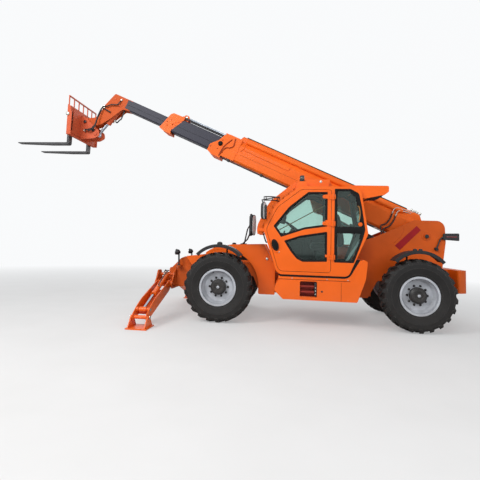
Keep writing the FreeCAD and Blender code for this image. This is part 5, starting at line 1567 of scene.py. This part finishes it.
class MIRROR_OT_telehandler_lamps(bpy.types.Operator):
    """Adds mirror housings and glass, ladder arms, lamp lenses and the tail lamps"""

    bl_idname = "telehandler.mirrors"
    bl_label = "Mirrors and lamps"

    look = Vector((-1.0, 0.35, 0.0)).normalized()
    mirrors = (((2.640, 1.250, 2.005), 0.085, 0.150, 4.0), ((2.845, 0.905, 1.765), 0.095, 0.190, 3.0))
    frame_edge, corner_steps = 0.009, 40
    ladder_start, ladder_reach = (2.39, 1.02, 2.20), (0.25, 0.22, 0.0)

    def execute(self, context):
        build("mirror_housings", self.housings, "black", "chassis")
        build("mirror_faces", self.faces, "mirror", "chassis")
        build("mirror_ladders", self.ladders, "black", "chassis")
        build("headlamp_lenses", self.lenses, "lens", "chassis")
        build("tail_lenses", self.tails, "red", "chassis")
        return {"FINISHED"}

    def oval(self, grid, centre, wide, tall, thick, power):
        """A rounded shell about a middle point, facing the way that the mirrors look."""
        side = self.look.cross(upwards).normalized()
        rings = []
        for depth, share in ((0, 1.0), (thick * 0.5, 1.0), (thick * 0.85, 0.90), (thick, 0.62)):
            ring = []
            for k in range(self.corner_steps):
                turn = 2 * math.pi * k / self.corner_steps
                c, s = math.cos(turn), math.sin(turn)
                size = (abs(c) ** power + abs(s) ** power) ** (1 / power) / share
                corner = side * (c / size * wide) + upwards * (s / size * tall)
                ring.append(centre - self.look * depth + corner)
            rings.append(ring_of(grid, ring))
        add_skin(grid, rings)

    def housings(self, grid):
        for place, wide, tall, power in self.mirrors:
            self.oval(grid, at(*place), wide, tall, 0.050, power)

    def faces(self, grid):
        # The mirror faces take the mirror finish: painted reflection in near white
        edge = self.frame_edge
        for place, wide, tall, power in self.mirrors:
            self.oval(grid, at(*place) + self.look * 0.003, wide - edge, tall - edge, 0.004, power)

    def ladders(self, grid):
        """Rung frames that hold the mirrors."""
        for z in (2.20, 2.262):
            arm = [at(2.39, 1.02, z + 0.006), at(2.50, 1.12, z + 0.01), at(2.64, 1.24, z - 0.005)]
            add_hose(grid, arm, 0.010, 8, 4)
        for share in (0.15, 0.5, 0.92):
            foot = at(*self.ladder_start) + Vector(self.ladder_reach) * share
            add_tube(grid, [foot, foot + upwards * 0.066], 0.008, 8)
        add_tube(grid, [at(2.655, 1.25, 2.262), at(2.655, 1.25, 2.10)], 0.008, 8)
        for x, y in ((2.93, 0.80), (2.915, 0.875)):
            add_tube(grid, [at(x, y, 1.93), at(x, y, 1.56)], 0.007, 8)
        for z in (1.60, 1.69, 1.78, 1.87):
            add_tube(grid, [at(2.93, 0.80, z), at(2.86, 0.90, z)], 0.0065, 8)
        foot, _ = touch("front_body", at(3.100, 0.520, 2.5), -upwards)
        add_tube(grid, [foot - upwards * 0.004, at(2.985, 0.66, 1.50), at(2.93, 0.80, 1.60)], 0.014, 10)
        add_turned(grid, [(-0.004, 0.034), (0.010, 0.034), (0.018, 0.020)], foot, upwards, 20)

    def lenses(self, grid):
        for sign in sides.values():
            add_turned(grid, [(-0.004, 0.050), (0.004, 0.048), (0.010, 0.036), (0.013, 0.012)],
                       at(4.414, sign * 0.540, 1.215), forwards)

    def tails(self, grid):
        """Two lamps and a strip on the board behind."""
        for z in (1.628, 1.692):
            add_block(grid, at(-0.934, 0.438, z - 0.022), at(-0.926, 0.456, z + 0.022), 0.003)
        add_block(grid, at(-0.890, 0.458, 1.655), at(-0.700, 0.4645, 1.669), 0.002)


class LEG_OT_telehandler_hoses(bpy.types.Operator):
    """Adds pin caps, hoses and unions of the stabilisers"""

    bl_idname = "telehandler.legs"
    bl_label = "Stabiliser fittings"

    barrel_foot = (0.42, 0.765)
    barrel_run, barrel_rise = 0.93428, 0.35654
    ports = (0.12, 0.62)
    leg_cap = ((-0.003, 0.026), (0.008, 0.026), (0.012, 0.018), (0.012, 0.006))
    pad_cap = ((-0.003, 0.030), (0.008, 0.030), (0.012, 0.022), (0.012, 0.008))

    def execute(self, context):
        low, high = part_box("stabiliser_leg_left")
        self.x = (low.x + high.x) / 2
        for side, sign in sides.items():
            leg, pad, cylinder = "stabiliser_" + side, "pad_" + side, "stabiliser_cylinder_" + side
            build(f"leg_pin_caps_{side}", self.caps, "zinc", leg,
                  ("stabiliser_leg_" + side, sign * 1.7046, 0.2746, self.leg_cap))
            build(f"pad_pin_caps_{side}", self.caps, "zinc", pad,
                  (f"stabiliser_pad_{side} stabiliser_leg_{side}", sign * 1.8215, 0.170, self.pad_cap))
            build(f"leg_hoses_{side}", self.hoses, "hose", cylinder, (sign,))
            build(f"leg_unions_{side}", self.unions, "zinc", cylinder, (sign,))
        return {"FINISHED"}

    def caps(self, grid, names, y, z, profile):
        """Caps on both ends of a pin that lies fore and aft."""
        for way in (1, -1):
            seat_turned(grid, names, Vector((self.x + way * 0.5, y, z)), forwards * way, profile, 20)

    def square(self, sign):
        """The direction square to a leg's barrel."""
        return Vector((0, sign * self.barrel_rise, self.barrel_run))

    def along(self, sign, far, up, ahead):
        """A place along, square to and ahead of a leg's barrel."""
        y, z = self.barrel_foot
        line = Vector((0, sign * self.barrel_run, -self.barrel_rise))
        return Vector((self.x, sign * y, z)) + line * far + self.square(sign) * up + forwards * ahead

    def hoses(self, grid, sign):
        """Two hoses that loop from the barrel's unions back under the bracket."""
        for k, (far, lift) in enumerate(zip(self.ports, (0.090, 0.080))):
            ends = ((far, 0.066, 0.02 - 0.05 * k), (far - 0.02, lift + 0.014, 0.02 - 0.05 * k),
                    (far * 0.5 - 0.02, lift + 0.018, 0.015 - 0.04 * k), (0.04, 0.082, 0.01 - 0.03 * k),
                    (-0.02, 0.070, -0.03 * k))
            add_hose(grid, [self.along(sign, *end) for end in ends], 0.010)

    def unions(self, grid, sign):
        for k, far in enumerate(self.ports):
            add_fitting(grid, self.along(sign, far, 0.045, 0.02 - 0.05 * k), self.square(sign), 0.013, 0.034)


class HOOD_OT_telehandler_engine(bpy.types.Operator):
    """Adds grilles and catches to the engine cover, and dresses the engine under it"""

    bl_idname = "telehandler.engine"
    bl_label = "Engine cover and engine"

    grille_places, grille_long, slats = (0.30, 0.95), 0.30, 9
    catch_places = (0.15, 1.38)
    filter_profile = ((0.0, 0.052), (0.01, 0.060), (0.20, 0.060), (0.215, 0.066), (0.235, 0.066),
                      (0.245, 0.056), (0.300, 0.050))
    pulleys = ((0.0, 0.20, 0.085), (-0.13, 0.45, 0.050), (0.12, 0.50, 0.060))

    def execute(self, context):
        self.hood_low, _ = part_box("engine_hood")
        self.low, self.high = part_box("engine_block")
        build("hood_grille", self.grille, "black", "hood")
        build("hood_catches", self.catches, "zinc", "hood")
        build("engine_covers", self.covers, "engine", "chassis")
        build("engine_filter", self.filter, "black", "chassis")
        build("engine_belt", self.belt, "hose", "chassis")
        return {"FINISHED"}

    def on_hood(self, x, z):
        """Where the engine cover's outer side lies."""
        return touch("engine_hood", Vector((x, self.hood_low.y - 0.5, z)), leftwards)[0]

    def grille(self, grid):
        """Two banks of louvres on the cover's outer side."""
        for bank in self.grille_places:
            x = self.hood_low.x + bank
            for k in range(self.slats):
                z = self.hood_low.z + 0.16 + 0.042 * k
                y = self.on_hood(x + 0.12, z).y
                far = x + self.grille_long
                add_block(grid, (x, y - 0.010, z - 0.011), (far, y + 0.004, z + 0.011), 0.003)

    def catches(self, grid):
        for place in self.catch_places:
            x, y, z = self.on_hood(self.hood_low.x + place, self.hood_low.z + 0.07)
            add_block(grid, (x - 0.020, y - 0.014, z - 0.030), (x + 0.020, y + 0.002, z + 0.030), 0.004)
            add_tube(grid, [Vector((x, y - 0.018, z + 0.02)), Vector((x, y - 0.026, z - 0.02))], 0.007, 8)

    def covers(self, grid):
        """Ribbed valve cover and manifold on the engine block."""
        low, high = self.low, self.high
        y, top = (low.y + high.y) / 2, high.z
        add_block(grid, (low.x + 0.10, y - 0.14, top - 0.004), (high.x - 0.12, y + 0.14, top + 0.060), 0.020)
        for k in range(8):
            x = low.x + 0.16 + 0.10 * k
            add_block(grid, (x, y - 0.150, top + 0.010), (x + 0.022, y + 0.150, top + 0.068), 0.006)
        for k in range(4):
            x = low.x + 0.22 + 0.19 * k
            bend = [Vector((x, low.y + 0.01, top - 0.14)), Vector((x, low.y - 0.05, top - 0.12)),
                    Vector((x + 0.02, low.y - 0.060, top - 0.06))]
            add_hose(grid, bend, 0.024, 12, 4)
        header = [Vector((x, low.y - 0.055, top - 0.05)) for x in (low.x + 0.16, high.x - 0.16)]
        add_tube(grid, header, 0.030, 14)

    def filter(self, grid):
        centre = Vector((self.low.x + 0.10, self.high.y - 0.10, self.high.z + 0.02))
        add_turned(grid, self.filter_profile, centre, forwards, 28)

    def belt(self, grid):
        """Grooved pulleys at the engine's rear face."""
        y = (self.low.y + self.high.y) / 2
        for across, up, radius in self.pulleys:
            profile = [(0.032, radius * 0.4), (0.004, radius * 0.4), (0.004, radius), (-0.004, radius * 0.92),
                       (-0.012, radius), (-0.016, radius * 0.3)]
            add_turned(grid, profile, Vector((self.low.x - 0.030, y + across, self.low.z + up)), forwards, 28)


operators = [
    SCENE_OT_telehandler_stage, PAINT_OT_telehandler_finish, WHEEL_OT_telehandler_fittings,
    BOOM_OT_telehandler_trim, PIPE_OT_telehandler_boom_lines, HOSE_OT_telehandler_root,
    HOSE_OT_telehandler_head, CAB_OT_telehandler_glazing, CAB_OT_telehandler_fittings,
    SEAT_OT_telehandler_driver, CAB_OT_telehandler_interior, BODY_OT_telehandler_bodywork,
    MIRROR_OT_telehandler_lamps, LEG_OT_telehandler_hoses, HOOD_OT_telehandler_engine,
]
groups = {"telehandler_paint": PaintSettings, "telehandler_stage": StageSettings,
          "telehandler_detail": DetailSettings}


class VIEW3D_PT_telehandler(bpy.types.Panel):
    """Lists the steps that dress the machine"""

    bl_label = "Telehandler"
    bl_space_type = "VIEW_3D"
    bl_region_type = "UI"
    bl_category = "Telehandler"

    def draw(self, context):
        for step in operators:
            self.layout.operator(step.bl_idname)
        for group in groups:
            box = self.layout.box()
            settings = getattr(context.scene, group)
            for name in settings.__annotations__:
                box.prop(settings, name)


def register():
    for made in (*groups.values(), *operators, VIEW3D_PT_telehandler):
        bpy.utils.register_class(made)
    for name, group in groups.items():
        setattr(bpy.types.Scene, name, PointerProperty(type=group))


def unregister():
    for name in groups:
        delattr(bpy.types.Scene, name)
    for made in (VIEW3D_PT_telehandler, *reversed(operators), *groups.values()):
        bpy.utils.unregister_class(made)


def main():
    register()
    for step in operators:
        getattr(bpy.ops.telehandler, step.bl_idname.split(".")[1])()


if __name__ == "__main__":
    main()
